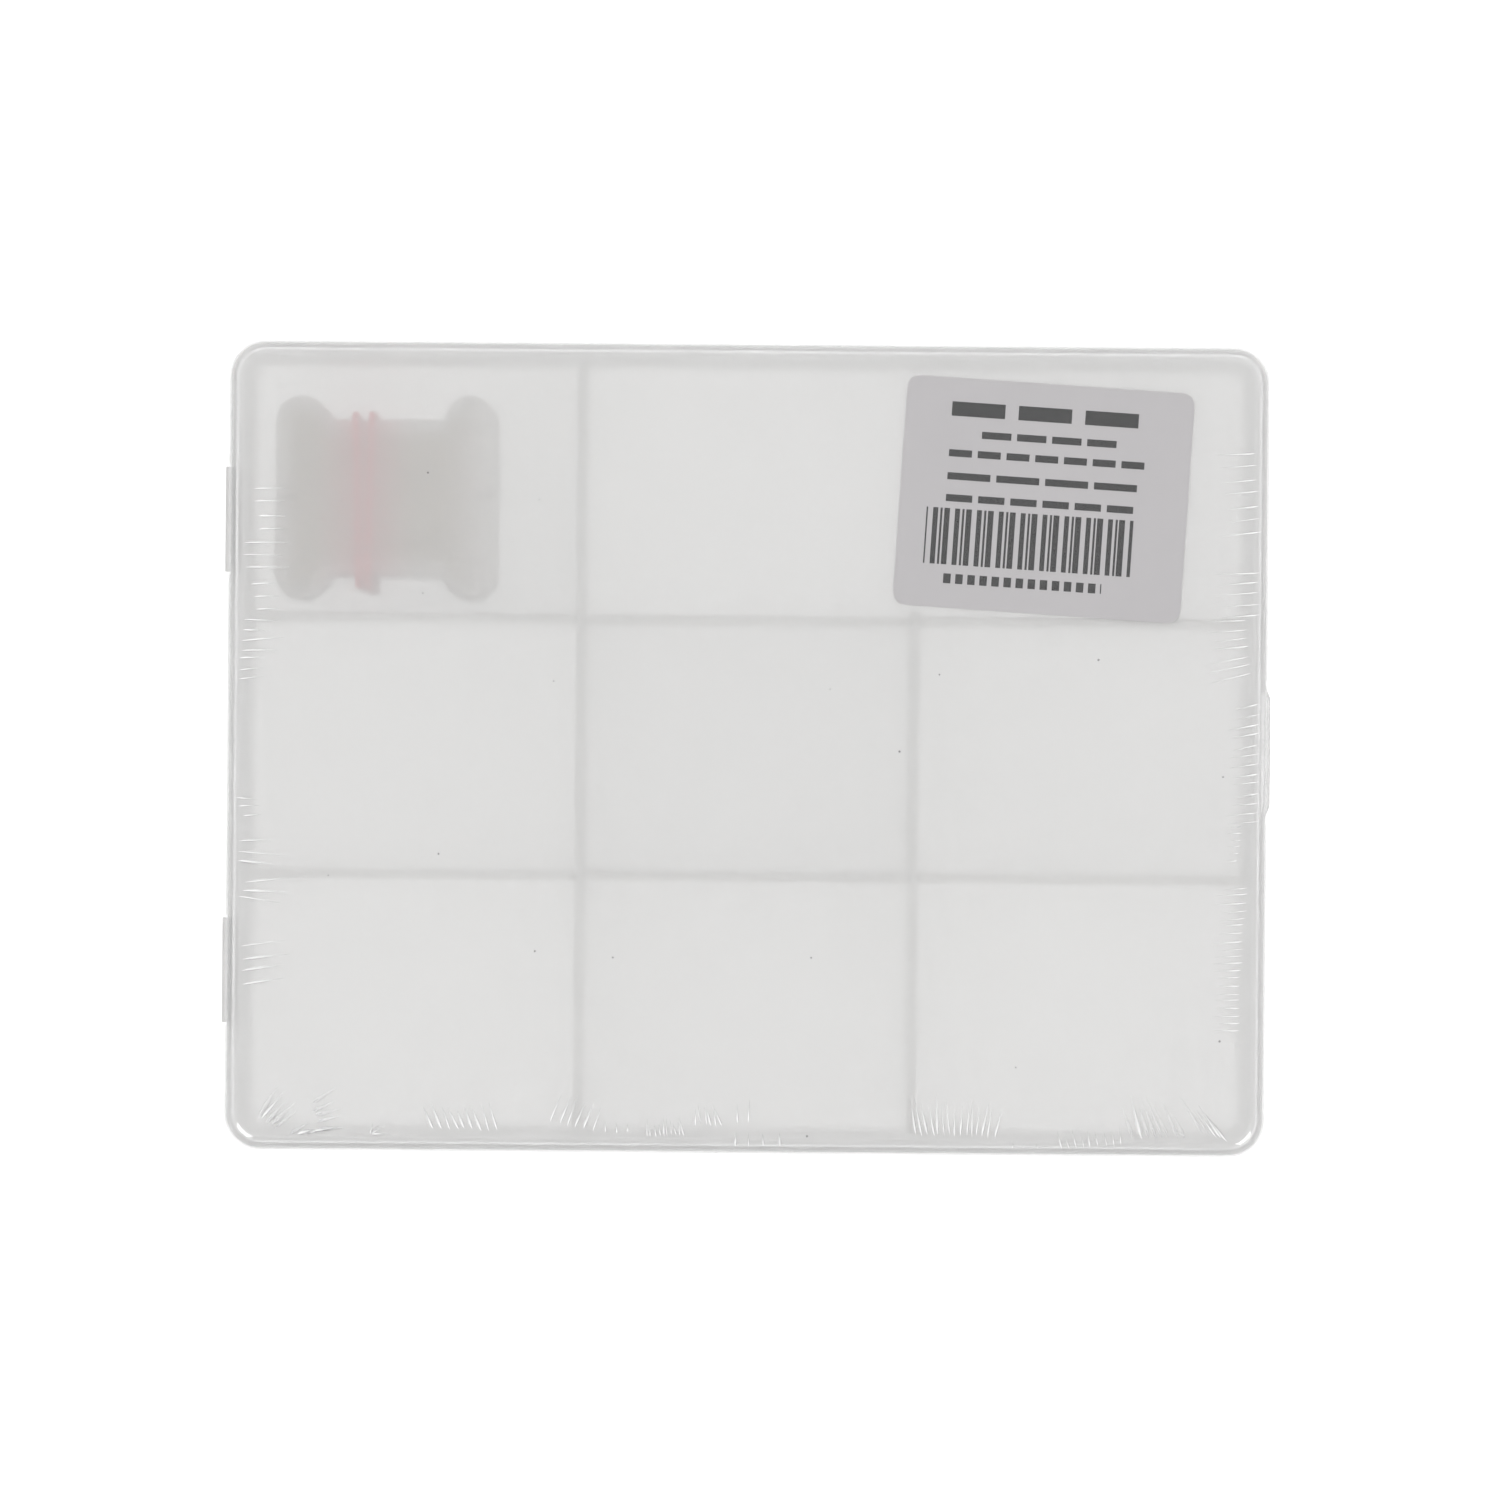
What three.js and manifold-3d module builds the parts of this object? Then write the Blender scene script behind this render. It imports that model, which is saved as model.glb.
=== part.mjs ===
// Embroidery thread box: a frosted compartment box with a hinged lid, a loose grid of divider plates
// and a banded stack of thread cards. Millimetres, +Z up, origin at the centre of the underside.
// +X points to the thumb tab, -X to the hinge, +Y to the row that holds the cards.
import * as THREE from "three";
import { mergeVertices } from "three/addons/utils/BufferGeometryUtils.js";
import Module from "manifold-3d";

// Box outline, which is the lid seen from above
const boxLength = 180;
const boxWidth = 140;
const boxHeight = 40;
const cornerSteps = 6;
const filletSteps = 3;
const cutOverrun = 1;

// Tray: insets are measured inwards from the box outline
const trayInset = 2;
const trayWall = 1.4;
const trayFloor = 1.4;
const trayFootFillet = 1.2;
const trayFloorFillet = 0.8;
const roomRadius = 2.6; // inside corner of the tray seen from above
const trayRimGap = 0.4; // tray rim to the underside of the lid
const ledgeDepth = 1.6;
const ledgeGap = 0.3; // ledge to the lid's skirt

// Lid
const lidPlate = 1.2;
const lidSkirt = 1.2;
const lidDepth = 8; // lid's top to the lower edge of its skirt
const lidEdgeFillet = 2.4;

// Thumb tab on the lid, and the snap beads behind it
const tabProud = 1;
const tabBaseLength = 24;
const tabTipLength = 18.6;
const tabDepth = 2.2;
const beadLength = 18;
const beadFootDepth = 1.2;
const beadTipDepth = 0.4;
const beadTipGap = 0.1; // lid bead to tray bead as they pass
const beadDrop = 1.6; // tray bead's middle below the tray rim
const beadGap = 0.3; // closed lid's bead below the tray's bead

// Living hinge straps
const strapLength = 18.2;
const strapFromEdge = 21.7; // along the hinge side, from the box's long side
const strapProud = 1;
const strapLidReach = 3;
const strapWebThickness = 0.4;
const strapWebInset = 0.2; // web's outer face in from the pads' faces
const strapWebReach = 0.5; // free web above and below the parting gap's middle

// Divider plates, half-lapped where they cross, which part the room into equal thirds
const dividerThickness = 1.4;
const dividerTopGap = 0.8; // plate to the underside of the lid
const dividerEndGap = 0.3;
const dividerFootGap = 0.2; // cut foot corner to the rounding of the tray's floor
const lapGap = 0.15;
const lapStubLength = 0.9; // end of the short plate past the plate that it hangs on

// Thread cards, stacked flat
const cardCount = 25;
const cardLength = 38;
const cardSideGap = 4.3; // card to the long sides of its compartment
const cardEarLength = 8.6;
const cardEarHeight = 4;
const cardThickness = 1;
const cardGap = 0.1;
const cardSlitWidth = 0.6;
const cardSlitDepth = 3.5;
const cardEarSteps = 4;
const stackEndGap = 4.3; // stack to the tray's hinge side
const stackOffset = 1.7; // stack's middle in front of the compartment's middle
const cardStrayDistance = 0.3; // furthest that a card lies off the stack's middle
const cardStrayTurn = THREE.MathUtils.degToRad(0.9);
const cardStraySpin = 2.4; // radians from one card's stray to the next

// Elastic band, wound twice round the stack's waist
const bandThickness = 1;
const bandGap = 0.3;
const bandCornerGap = 0.2; // more room where the band bends round the cards' edges
const bandOffset = 3.9; // from the cards' middle towards the hinge
const bandFrontPitch = 1.56; // between the middles of the two turns, at the front
const bandRearPitch = 3.3; // the same at the rear
const bandHook = 2.2; // sideways pull where the turns cross
const bandCrossShare = 0.11; // share of a turn in which the turns change sides
const bandTurns = 2;
const bandSideSteps = 4;
const bandBendSteps = 2;
const bandSides = 6;
const gapSamples = 400;

// Label on the lid
const labelLength = 50;
const labelWidth = 40;
const labelRadius = 2.3;
const labelThickness = 0.1;
const labelFromTabSide = 13.8;
const labelFromRear = 6.3;
const labelTurn = THREE.MathUtils.degToRad(-3.55);

// Shrink film, slit along the parting gap
const filmThickness = 0.2;
const filmGap = 0.15;
const filmSlitGap = 0.2;
const filmFootGap = 0.6; // film's foot above the underside
const filmWindowGap = 0.8; // round the thumb tab and the hinge straps

// Levels, faces and places that follow from the sizes above
const partingHeight = boxHeight - lidDepth;
const lidUnderside = boxHeight - lidPlate;
const rimTop = lidUnderside - trayRimGap;
const ledgeTop = partingHeight - ledgeGap;
const ledgeBottom = ledgeTop - ledgeDepth;
const wallInset = trayInset + trayWall;
const outlineRadius = wallInset + roomRadius;
const hingeOffset = strapProud - strapWebInset - strapWebThickness / 2;
const strapY = boxWidth / 2 - strapFromEdge - strapLength / 2;
const roomLength = boxLength - 2 * wallInset;
const roomWidth = boxWidth - 2 * wallInset;
const compartmentLength = (roomLength - 2 * dividerThickness) / 3;
const compartmentWidth = (roomWidth - 2 * dividerThickness) / 3;
const crossDividerX = (compartmentLength + dividerThickness) / 2;
const longDividerY = (compartmentWidth + dividerThickness) / 2;
const dividerFootCut = trayFloorFillet + dividerFootGap;
const dividerTop = lidUnderside - dividerTopGap;
const cardWidth = compartmentWidth - 2 * cardSideGap;
const cardWaist = cardWidth - 2 * cardEarHeight;
const cardPitch = cardThickness + cardGap;
const stackX = -roomLength / 2 + stackEndGap + cardLength / 2;
const stackY = (roomWidth - compartmentWidth) / 2 - stackOffset;
const bandX = stackX - bandOffset;
const bandRadius = bandThickness / 2;
const stackBottom = trayFloor + 2 * bandGap + bandThickness;
const stackTop = stackBottom + cardCount * cardPitch - cardGap;

const wasm = await Module();
wasm.setup();

const colours = {
  frosted: { color: 0xe4e4e2, roughness: 0.45, metalness: 0 },
  divider: { color: 0xdededb, roughness: 0.5, metalness: 0 },
  card: { color: 0xc9cbc8, roughness: 0.9, metalness: 0 },
  band: { color: 0xe0566c, roughness: 0.6, metalness: 0 },
  label: { color: 0xcfced4, roughness: 0.7, metalness: 0 },
  film: { color: 0xf6f6f6, roughness: 0.1, metalness: 0, transparent: true, opacity: 0.3 },
};

// One outline of the box at a height: a rounded rectangle, anticlockwise from the +X side.
function outlineRing(inset, z) {
  const radius = outlineRadius - inset;
  const points = [];
  for (let corner = 0; corner < 4; corner++) {
    const middle = ((corner + 1 / 2) * Math.PI) / 2;
    const centreX = Math.sign(Math.cos(middle)) * (boxLength / 2 - outlineRadius);
    const centreY = Math.sign(Math.sin(middle)) * (boxWidth / 2 - outlineRadius);
    for (let step = 0; step <= cornerSteps; step++) {
      const angle = ((corner + step / cornerSteps) * Math.PI) / 2;
      const x = centreX + radius * Math.cos(angle);
      const y = centreY + radius * Math.sin(angle);
      points.push(new THREE.Vector3(x, y, z));
    }
  }
  return points;
}

// Rings of a quarter-round edge about a centre, from one angle to another.
function filletRings(centreInset, centreZ, radius, fromAngle, toAngle) {
  const rings = [];
  for (let step = 0; step <= filletSteps; step++) {
    const angle = fromAngle + ((toAngle - fromAngle) * step) / filletSteps;
    const inset = centreInset - radius * Math.cos(angle);
    rings.push(outlineRing(inset, centreZ + radius * Math.sin(angle)));
  }
  return rings;
}

// Joins rings of equal count. The ends are capped, or joined to each other when the profile closes.
function loft(rings, profileCloses) {
  const count = rings[0].length;
  const spans = profileCloses ? rings.length : rings.length - 1;
  const index = [];
  for (let span = 0; span < spans; span++) {
    const here = span * count;
    const next = ((span + 1) % rings.length) * count;
    for (let i = 0; i < count; i++) {
      const j = (i + 1) % count;
      index.push(here + i, here + j, next + j);
      index.push(here + i, next + j, next + i);
    }
  }
  if (!profileCloses) {
    const last = (rings.length - 1) * count;
    for (let i = 1; i < count - 1; i++) {
      index.push(0, i + 1, i);
      index.push(last, last + i, last + i + 1);
    }
  }
  const positions = rings.flat().flatMap((point) => point.toArray());
  const geometry = new THREE.BufferGeometry();
  geometry.setAttribute("position", new THREE.Float32BufferAttribute(positions, 3));
  geometry.setIndex(index);
  geometry.computeVertexNormals();
  return geometry;
}

function toSolid(geometry) {
  const bare = geometry.clone();
  bare.deleteAttribute("normal");
  bare.deleteAttribute("uv");
  const merged = mergeVertices(bare);
  const vertProperties = merged.attributes.position.array;
  const triVerts = new Uint32Array(merged.index.array);
  return new wasm.Manifold(new wasm.Mesh({ numProp: 3, vertProperties, triVerts }));
}

function toGeometry(solid) {
  const mesh = solid.getMesh();
  const geometry = new THREE.BufferGeometry();
  geometry.setAttribute("position", new THREE.Float32BufferAttribute(mesh.vertProperties, 3));
  geometry.setIndex(new THREE.Uint32BufferAttribute(mesh.triVerts, 1));
  geometry.computeVertexNormals();
  return geometry;
}

// A box given by its lowest and highest corners.
function blockBetween(low, high) {
  const size = high.clone().sub(low);
  const middle = high.clone().add(low).multiplyScalar(0.5);
  return new THREE.BoxGeometry(size.x, size.y, size.z).translate(middle.x, middle.y, middle.z);
}

function extruded(points, depth) {
  return new THREE.ExtrudeGeometry(new THREE.Shape(points), { depth, bevelEnabled: false });
}

// A profile drawn in X and Z, extruded along Y about the middle given.
function extrudedAlongY(points, length, middleY) {
  return extruded(points, length).rotateX(Math.PI / 2).translate(0, middleY + length / 2, 0);
}

function trayShell() {
  const footCentre = trayInset + trayFootFillet;
  const floorCentre = wallInset + trayFloorFillet;
  return loft([
    ...filletRings(footCentre, trayFootFillet, trayFootFillet, -Math.PI / 2, 0),
    outlineRing(trayInset, ledgeBottom),
    outlineRing(0, ledgeBottom),
    outlineRing(0, ledgeTop),
    outlineRing(trayInset, ledgeTop),
    outlineRing(trayInset, rimTop),
    outlineRing(wallInset, rimTop),
    ...filletRings(floorCentre, trayFloor + trayFloorFillet, trayFloorFillet, 0, -Math.PI / 2),
  ], false);
}

function lidShell() {
  const edgeZ = boxHeight - lidEdgeFillet;
  const insideFillet = lidEdgeFillet - Math.max(lidPlate, lidSkirt);
  const insideCentre = lidSkirt + insideFillet;
  return loft([
    ...filletRings(insideCentre, lidUnderside - insideFillet, insideFillet, Math.PI / 2, 0),
    outlineRing(lidSkirt, partingHeight),
    outlineRing(0, partingHeight),
    ...filletRings(lidEdgeFillet, edgeZ, lidEdgeFillet, 0, Math.PI / 2),
  ], false);
}

// A snap bead on a wall's face at x, standing out towards the direction given.
function snapBead(faceX, wall, direction, middleZ) {
  const proud = (trayInset - lidSkirt - beadTipGap) / 2;
  const rootX = faceX - (direction * wall) / 2;
  const tipX = faceX + direction * proud;
  const points = [
    new THREE.Vector2(rootX, middleZ - beadFootDepth / 2),
    new THREE.Vector2(faceX, middleZ - beadFootDepth / 2),
    new THREE.Vector2(tipX, middleZ - beadTipDepth / 2),
    new THREE.Vector2(tipX, middleZ + beadTipDepth / 2),
    new THREE.Vector2(faceX, middleZ + beadFootDepth / 2),
    new THREE.Vector2(rootX, middleZ + beadFootDepth / 2),
  ];
  return extrudedAlongY(points, beadLength, 0);
}

function baseTray() {
  const wallX = boxLength / 2 - trayInset;
  const bead = snapBead(wallX, trayWall, 1, rimTop - beadDrop);
  return toGeometry(toSolid(trayShell()).add(toSolid(bead)));
}

function thumbTab() {
  const wallX = boxLength / 2;
  const rootX = wallX - lidSkirt / 2;
  const points = [
    new THREE.Vector2(rootX, -tabBaseLength / 2),
    new THREE.Vector2(wallX, -tabBaseLength / 2),
    new THREE.Vector2(wallX + tabProud, -tabTipLength / 2),
    new THREE.Vector2(wallX + tabProud, tabTipLength / 2),
    new THREE.Vector2(wallX, tabBaseLength / 2),
    new THREE.Vector2(rootX, tabBaseLength / 2),
  ];
  return extruded(points, tabDepth).translate(0, 0, partingHeight);
}

function lid() {
  const skirtX = boxLength / 2 - lidSkirt;
  const beadZ = rimTop - beadDrop - beadFootDepth - beadGap;
  const bead = snapBead(skirtX, lidSkirt, -1, beadZ);
  return toGeometry(toSolid(lidShell()).add(toSolid(thumbTab())).add(toSolid(bead)));
}

// Two pads joined by a thin web that bends: one pad on the lid's skirt, one on the tray's ledge.
function hingeStrap(middleY) {
  const wallX = -boxLength / 2;
  const outerX = wallX - strapProud;
  const webInnerX = wallX - hingeOffset + strapWebThickness / 2;
  const webOuterX = webInnerX - strapWebThickness;
  const gapMiddle = partingHeight - ledgeGap / 2;
  const webTop = gapMiddle + strapWebReach;
  const webBottom = gapMiddle - strapWebReach;
  const points = [
    new THREE.Vector2(outerX, ledgeBottom),
    new THREE.Vector2(wallX, ledgeBottom),
    new THREE.Vector2(wallX, webBottom),
    new THREE.Vector2(webInnerX, webBottom),
    new THREE.Vector2(webInnerX, webTop),
    new THREE.Vector2(wallX, webTop),
    new THREE.Vector2(wallX, partingHeight + strapLidReach),
    new THREE.Vector2(outerX, partingHeight + strapLidReach),
    new THREE.Vector2(outerX, webTop),
    new THREE.Vector2(webOuterX, webTop),
    new THREE.Vector2(webOuterX, webBottom),
    new THREE.Vector2(outerX, webBottom),
  ];
  return extrudedAlongY(points, strapLength, middleY);
}

// A corner at the plate's foot, cut off where it would meet the rounding of the tray's floor.
function footCorner(end, inwards, cut) {
  if (cut === 0) return [new THREE.Vector2(end, trayFloor)];
  return [
    new THREE.Vector2(end, trayFloor + cut),
    new THREE.Vector2(end + inwards * cut, trayFloor),
  ];
}

// A half-lap notch in the plate's outline, from the edge given to the middle of the plate's height.
function lapNotch(middle, edgeZ, turn) {
  const halfWidth = dividerThickness / 2 + lapGap;
  const halfHeight = (trayFloor + dividerTop) / 2;
  const bottomZ = halfHeight + turn * lapGap;
  return [
    new THREE.Vector2(middle - turn * halfWidth, edgeZ),
    new THREE.Vector2(middle - turn * halfWidth, bottomZ),
    new THREE.Vector2(middle + turn * halfWidth, bottomZ),
    new THREE.Vector2(middle + turn * halfWidth, edgeZ),
  ];
}

// A divider plate standing along X, with notches at the places given, open at its top or its foot.
function dividerPlate(from, to, toCut, notches, openUp) {
  const footNotches = openUp ? [] : notches.flatMap((at) => lapNotch(at, trayFloor, 1));
  const topNotches = openUp ? notches.toReversed().flatMap((at) => lapNotch(at, dividerTop, -1)) : [];
  const points = [
    ...footCorner(from, 1, dividerFootCut),
    ...footNotches,
    ...footCorner(to, -1, toCut).reverse(),
    new THREE.Vector2(to, dividerTop),
    ...topNotches,
    new THREE.Vector2(from, dividerTop),
  ];
  return extrudedAlongY(points, dividerThickness, 0);
}

function longDivider() {
  const end = roomLength / 2 - dividerEndGap;
  return dividerPlate(-end, end, dividerFootCut, [-crossDividerX, crossDividerX], true);
}

// The left plate crosses the whole tray. The right one hangs on the rear long plate by a stub.
function crossDividerLeft() {
  const end = roomWidth / 2 - dividerEndGap;
  return dividerPlate(-end, end, dividerFootCut, [-longDividerY, longDividerY], false);
}

function crossDividerRight() {
  const frontEnd = -roomWidth / 2 + dividerEndGap;
  const rearEnd = longDividerY + dividerThickness / 2 + lapStubLength;
  return dividerPlate(frontEnd, rearEnd, 0, [-longDividerY, longDividerY], false);
}

// One quarter of a thread card's outline: half a slit at the end, then a round ear down to the waist.
function cardQuarter(signX, signY) {
  const halfLength = cardLength / 2;
  const points = [
    new THREE.Vector2(halfLength - cardSlitDepth, cardSlitWidth / 2),
    new THREE.Vector2(halfLength, cardSlitWidth / 2),
  ];
  for (let step = 0; step <= 2 * cardEarSteps; step++) {
    const angle = (Math.PI * step) / (2 * cardEarSteps);
    const x = halfLength - (cardEarLength / 2) * (1 - Math.cos(angle));
    points.push(new THREE.Vector2(x, cardWaist / 2 + cardEarHeight * Math.sin(angle)));
  }
  const placed = points.map((point) => new THREE.Vector2(signX * point.x, signY * point.y));
  return signX === signY ? placed : placed.reverse();
}

function threadCard() {
  const outline = [
    ...cardQuarter(1, 1),
    ...cardQuarter(-1, 1),
    ...cardQuarter(-1, -1),
    ...cardQuarter(1, -1),
  ];
  return extruded(outline, cardThickness);
}

// The band's middle line seen along X: a round-cornered frame about the stack's waist, from the
// middle of its front side upwards. Its front side stands off, because the turns change sides there.
function bandFrame() {
  const bandReach = bandOffset + (bandRearPitch + bandThickness) / 2;
  const waistReach = cardWaist / 2 + cardStrayDistance + bandReach * Math.sin(cardStrayTurn);
  const rearY = stackY + waistReach + bandGap + bandRadius;
  const frontY = stackY - waistReach - bandGap - bandRadius - bandFrontPitch / 2;
  const bottomZ = stackBottom - bandGap - bandRadius;
  const topZ = stackTop + bandGap + bandRadius;
  const bend = bandRadius + bandGap + bandCornerGap;
  const middleZ = (bottomZ + topZ) / 2;
  const frame = new THREE.Path();
  frame.moveTo(frontY, middleZ);
  frame.lineTo(frontY, topZ - bend);
  frame.absarc(frontY + bend, topZ - bend, bend, Math.PI, Math.PI / 2, true);
  frame.lineTo(rearY - bend, topZ);
  frame.absarc(rearY - bend, topZ - bend, bend, Math.PI / 2, 0, true);
  frame.lineTo(rearY, bottomZ + bend);
  frame.absarc(rearY - bend, bottomZ + bend, bend, 0, -Math.PI / 2, true);
  frame.lineTo(frontY + bend, bottomZ);
  frame.absarc(frontY + bend, bottomZ + bend, bend, -Math.PI / 2, -Math.PI, true);
  frame.lineTo(frontY, middleZ);
  return frame;
}

// A point of the band. The two turns lie side by side, and change sides on the stack's front.
function bandPoint(frame, turn, share) {
  const { smoothstep, lerp } = THREE.MathUtils;
  const leaving = smoothstep(share, 0, bandCrossShare);
  const arriving = smoothstep(share, 1 - bandCrossShare, 1);
  const phase = Math.PI * (turn + (leaving + arriving) / 2);
  const rearness = ((1 - Math.cos(2 * Math.PI * share)) / 2) ** 2;
  const spread = lerp(bandFrontPitch, bandRearPitch, rearness) / 2;
  const hook = bandHook * (1 - leaving + arriving);
  const place = frame.getPointAt(share);
  const along = frame.getTangentAt(share);
  const outwards = (bandFrontPitch / 2) * Math.cos(phase);
  return new THREE.Vector3(
    bandX + hook + spread * Math.sin(phase),
    place.x - along.y * outwards,
    place.y + along.x * outwards,
  );
}

// Shares of one turn at which the band has a section: more at its bends than on its sides.
function bandShares(frame) {
  const ends = frame.getCurveLengths();
  const total = frame.getLength();
  const shares = [];
  frame.curves.forEach((curve, i) => {
    const start = i === 0 ? 0 : ends[i - 1];
    const halfSide = i === 0 || i === frame.curves.length - 1;
    const sideSteps = halfSide ? bandSideSteps / 2 : bandSideSteps;
    const steps = curve.isLineCurve ? sideSteps : bandBendSteps;
    for (let step = 0; step < steps; step++) {
      shares.push((start + ((ends[i] - start) * step) / steps) / total);
    }
  });
  return shares;
}

// The least distance between the surfaces of stretches of the band that are not next to each other.
function bandLeastGap(frame) {
  const count = bandTurns * gapSamples;
  const points = [];
  for (let i = 0; i < count; i++) {
    points.push(bandPoint(frame, Math.floor(i / gapSamples), (i % gapSamples) / gapSamples));
  }
  let least = Infinity;
  for (let i = 0; i < count; i++) {
    for (let j = i + 1; j < count; j++) {
      const apart = Math.min(j - i, count - (j - i));
      if (apart < gapSamples / 4) continue;
      least = Math.min(least, points[i].distanceTo(points[j]));
    }
  }
  return least - bandThickness;
}

function elasticBand() {
  const frame = bandFrame();
  const shares = bandShares(frame);
  const path = [];
  for (let turn = 0; turn < bandTurns; turn++) {
    shares.forEach((share) => path.push(bandPoint(frame, turn, share)));
  }
  console.log("elastic band: least gap between its turns " + bandLeastGap(frame).toFixed(2) + " mm");
  const lateral = new THREE.Vector3(1, 0, 0);
  const rings = path.map((point, i) => {
    const before = path[(i + path.length - 1) % path.length];
    const after = path[(i + 1) % path.length];
    const along = after.clone().sub(before).normalize();
    const side = lateral.clone().projectOnPlane(along).normalize();
    const up = along.clone().cross(side);
    const section = [];
    for (let corner = 0; corner < bandSides; corner++) {
      const angle = (2 * Math.PI * corner) / bandSides;
      const spoke = side.clone().multiplyScalar(bandRadius * Math.cos(angle));
      spoke.addScaledVector(up, bandRadius * Math.sin(angle));
      section.push(spoke.add(point));
    }
    return section;
  });
  return loft(rings, true);
}

function label() {
  const x = labelLength / 2;
  const y = labelWidth / 2;
  const sheet = new THREE.Shape();
  sheet.absarc(x - labelRadius, y - labelRadius, labelRadius, 0, Math.PI / 2);
  sheet.absarc(labelRadius - x, y - labelRadius, labelRadius, Math.PI / 2, Math.PI);
  sheet.absarc(labelRadius - x, labelRadius - y, labelRadius, Math.PI, (3 * Math.PI) / 2);
  sheet.absarc(x - labelRadius, labelRadius - y, labelRadius, (3 * Math.PI) / 2, 2 * Math.PI);
  return new THREE.ExtrudeGeometry(sheet, {
    depth: labelThickness,
    bevelEnabled: false,
    curveSegments: cornerSteps,
  });
}

// The place of a strap or a tab, where the film is cut away so that the lid can move.
function filmWindow(side, middleY, length, lowZ, highZ) {
  const x = (side * boxLength) / 2;
  const halfLength = length / 2 + filmWindowGap;
  const low = new THREE.Vector3(x - cutOverrun, middleY - halfLength, lowZ - filmWindowGap);
  const high = new THREE.Vector3(x + cutOverrun, middleY + halfLength, highZ + filmWindowGap);
  return toSolid(blockBetween(low, high));
}

function strapWindows() {
  const top = partingHeight + strapLidReach;
  return [-strapY, strapY].map((y) => filmWindow(-1, y, strapLength, ledgeBottom, top));
}

function withoutWindows(geometry, windows) {
  return toGeometry(windows.reduce((film, window) => film.subtract(window), toSolid(geometry)));
}

function lidFilm() {
  const inner = lidEdgeFillet + filmGap;
  const outer = inner + filmThickness;
  const edgeZ = boxHeight - lidEdgeFillet;
  const bottomZ = partingHeight + filmSlitGap;
  const skin = loft([
    ...filletRings(lidEdgeFillet, edgeZ, inner, Math.PI / 2, 0),
    outlineRing(-filmGap, bottomZ),
    outlineRing(-filmGap - filmThickness, bottomZ),
    ...filletRings(lidEdgeFillet, edgeZ, outer, 0, Math.PI / 2),
  ], false);
  const tab = filmWindow(1, 0, tabBaseLength, partingHeight, partingHeight + tabDepth);
  return withoutWindows(skin, [...strapWindows(), tab]);
}

// The film on the tray spans from the ledge's edge straight to the foot of the walls.
function baseFilm() {
  const topZ = ledgeTop - filmSlitGap;
  const outer = filmGap + filmThickness;
  const skin = loft([
    outlineRing(trayInset - outer, filmFootGap),
    outlineRing(-outer, ledgeBottom),
    outlineRing(-outer, topZ),
    outlineRing(-filmGap, topZ),
    outlineRing(-filmGap, ledgeBottom),
    outlineRing(trayInset - filmGap, filmFootGap),
  ], true);
  return withoutWindows(skin, strapWindows());
}

function piece(name, geometry, look) {
  const mesh = new THREE.Mesh(geometry, new THREE.MeshStandardMaterial(look));
  mesh.name = name;
  return mesh;
}

function hingeStraps() {
  const straps = new THREE.Group();
  straps.add(piece("hinge_strap_rear", hingeStrap(strapY), colours.frosted));
  straps.add(piece("hinge_strap_front", hingeStrap(-strapY), colours.frosted));
  return straps;
}

function dividerGrid() {
  const grid = new THREE.Group();
  const longRear = piece("long_divider_rear", longDivider(), colours.divider);
  const longFront = piece("long_divider_front", longDivider(), colours.divider);
  const crossLeft = piece("cross_divider_left", crossDividerLeft(), colours.divider);
  const crossRight = piece("cross_divider_right", crossDividerRight(), colours.divider);
  longRear.position.y = longDividerY;
  longFront.position.y = -longDividerY;
  crossLeft.position.x = -crossDividerX;
  crossRight.position.x = crossDividerX;
  crossLeft.rotation.z = Math.PI / 2;
  crossRight.rotation.z = Math.PI / 2;
  grid.add(longRear, longFront, crossLeft, crossRight);
  return grid;
}

function cardStack() {
  const stack = new THREE.Group();
  stack.position.set(stackX, stackY, stackBottom);
  const cardGeometry = threadCard();
  for (let i = 0; i < cardCount; i++) {
    const number = String(i + 1).padStart(2, "0");
    const card = piece("thread_card_" + number, cardGeometry, colours.card);
    const spin = i * cardStraySpin;
    const strayX = cardStrayDistance * Math.cos(spin);
    const strayY = cardStrayDistance * Math.sin(spin);
    card.position.set(strayX, strayY, i * cardPitch);
    card.rotation.z = cardStrayTurn * Math.sin(2 * spin);
    stack.add(card);
  }
  return stack;
}

function labelOnLid() {
  const sticker = piece("label", label(), colours.label);
  const x = boxLength / 2 - labelFromTabSide - labelLength / 2;
  const y = boxWidth / 2 - labelFromRear - labelWidth / 2;
  sticker.position.set(x, y, boxHeight);
  sticker.rotation.z = labelTurn;
  return sticker;
}

const threadBox = new THREE.Group();
threadBox.add(
  piece("base_tray", baseTray(), colours.frosted),
  piece("lid", lid(), colours.frosted),
  hingeStraps(),
  dividerGrid(),
  cardStack(),
  piece("elastic_band", elasticBand(), colours.band),
  labelOnLid(),
  piece("lid_film", lidFilm(), colours.film),
  piece("base_film", baseFilm(), colours.film),
);

export default threadBox;
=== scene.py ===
import math
import bmesh
import bpy
from mathutils import Matrix, Vector


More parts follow.
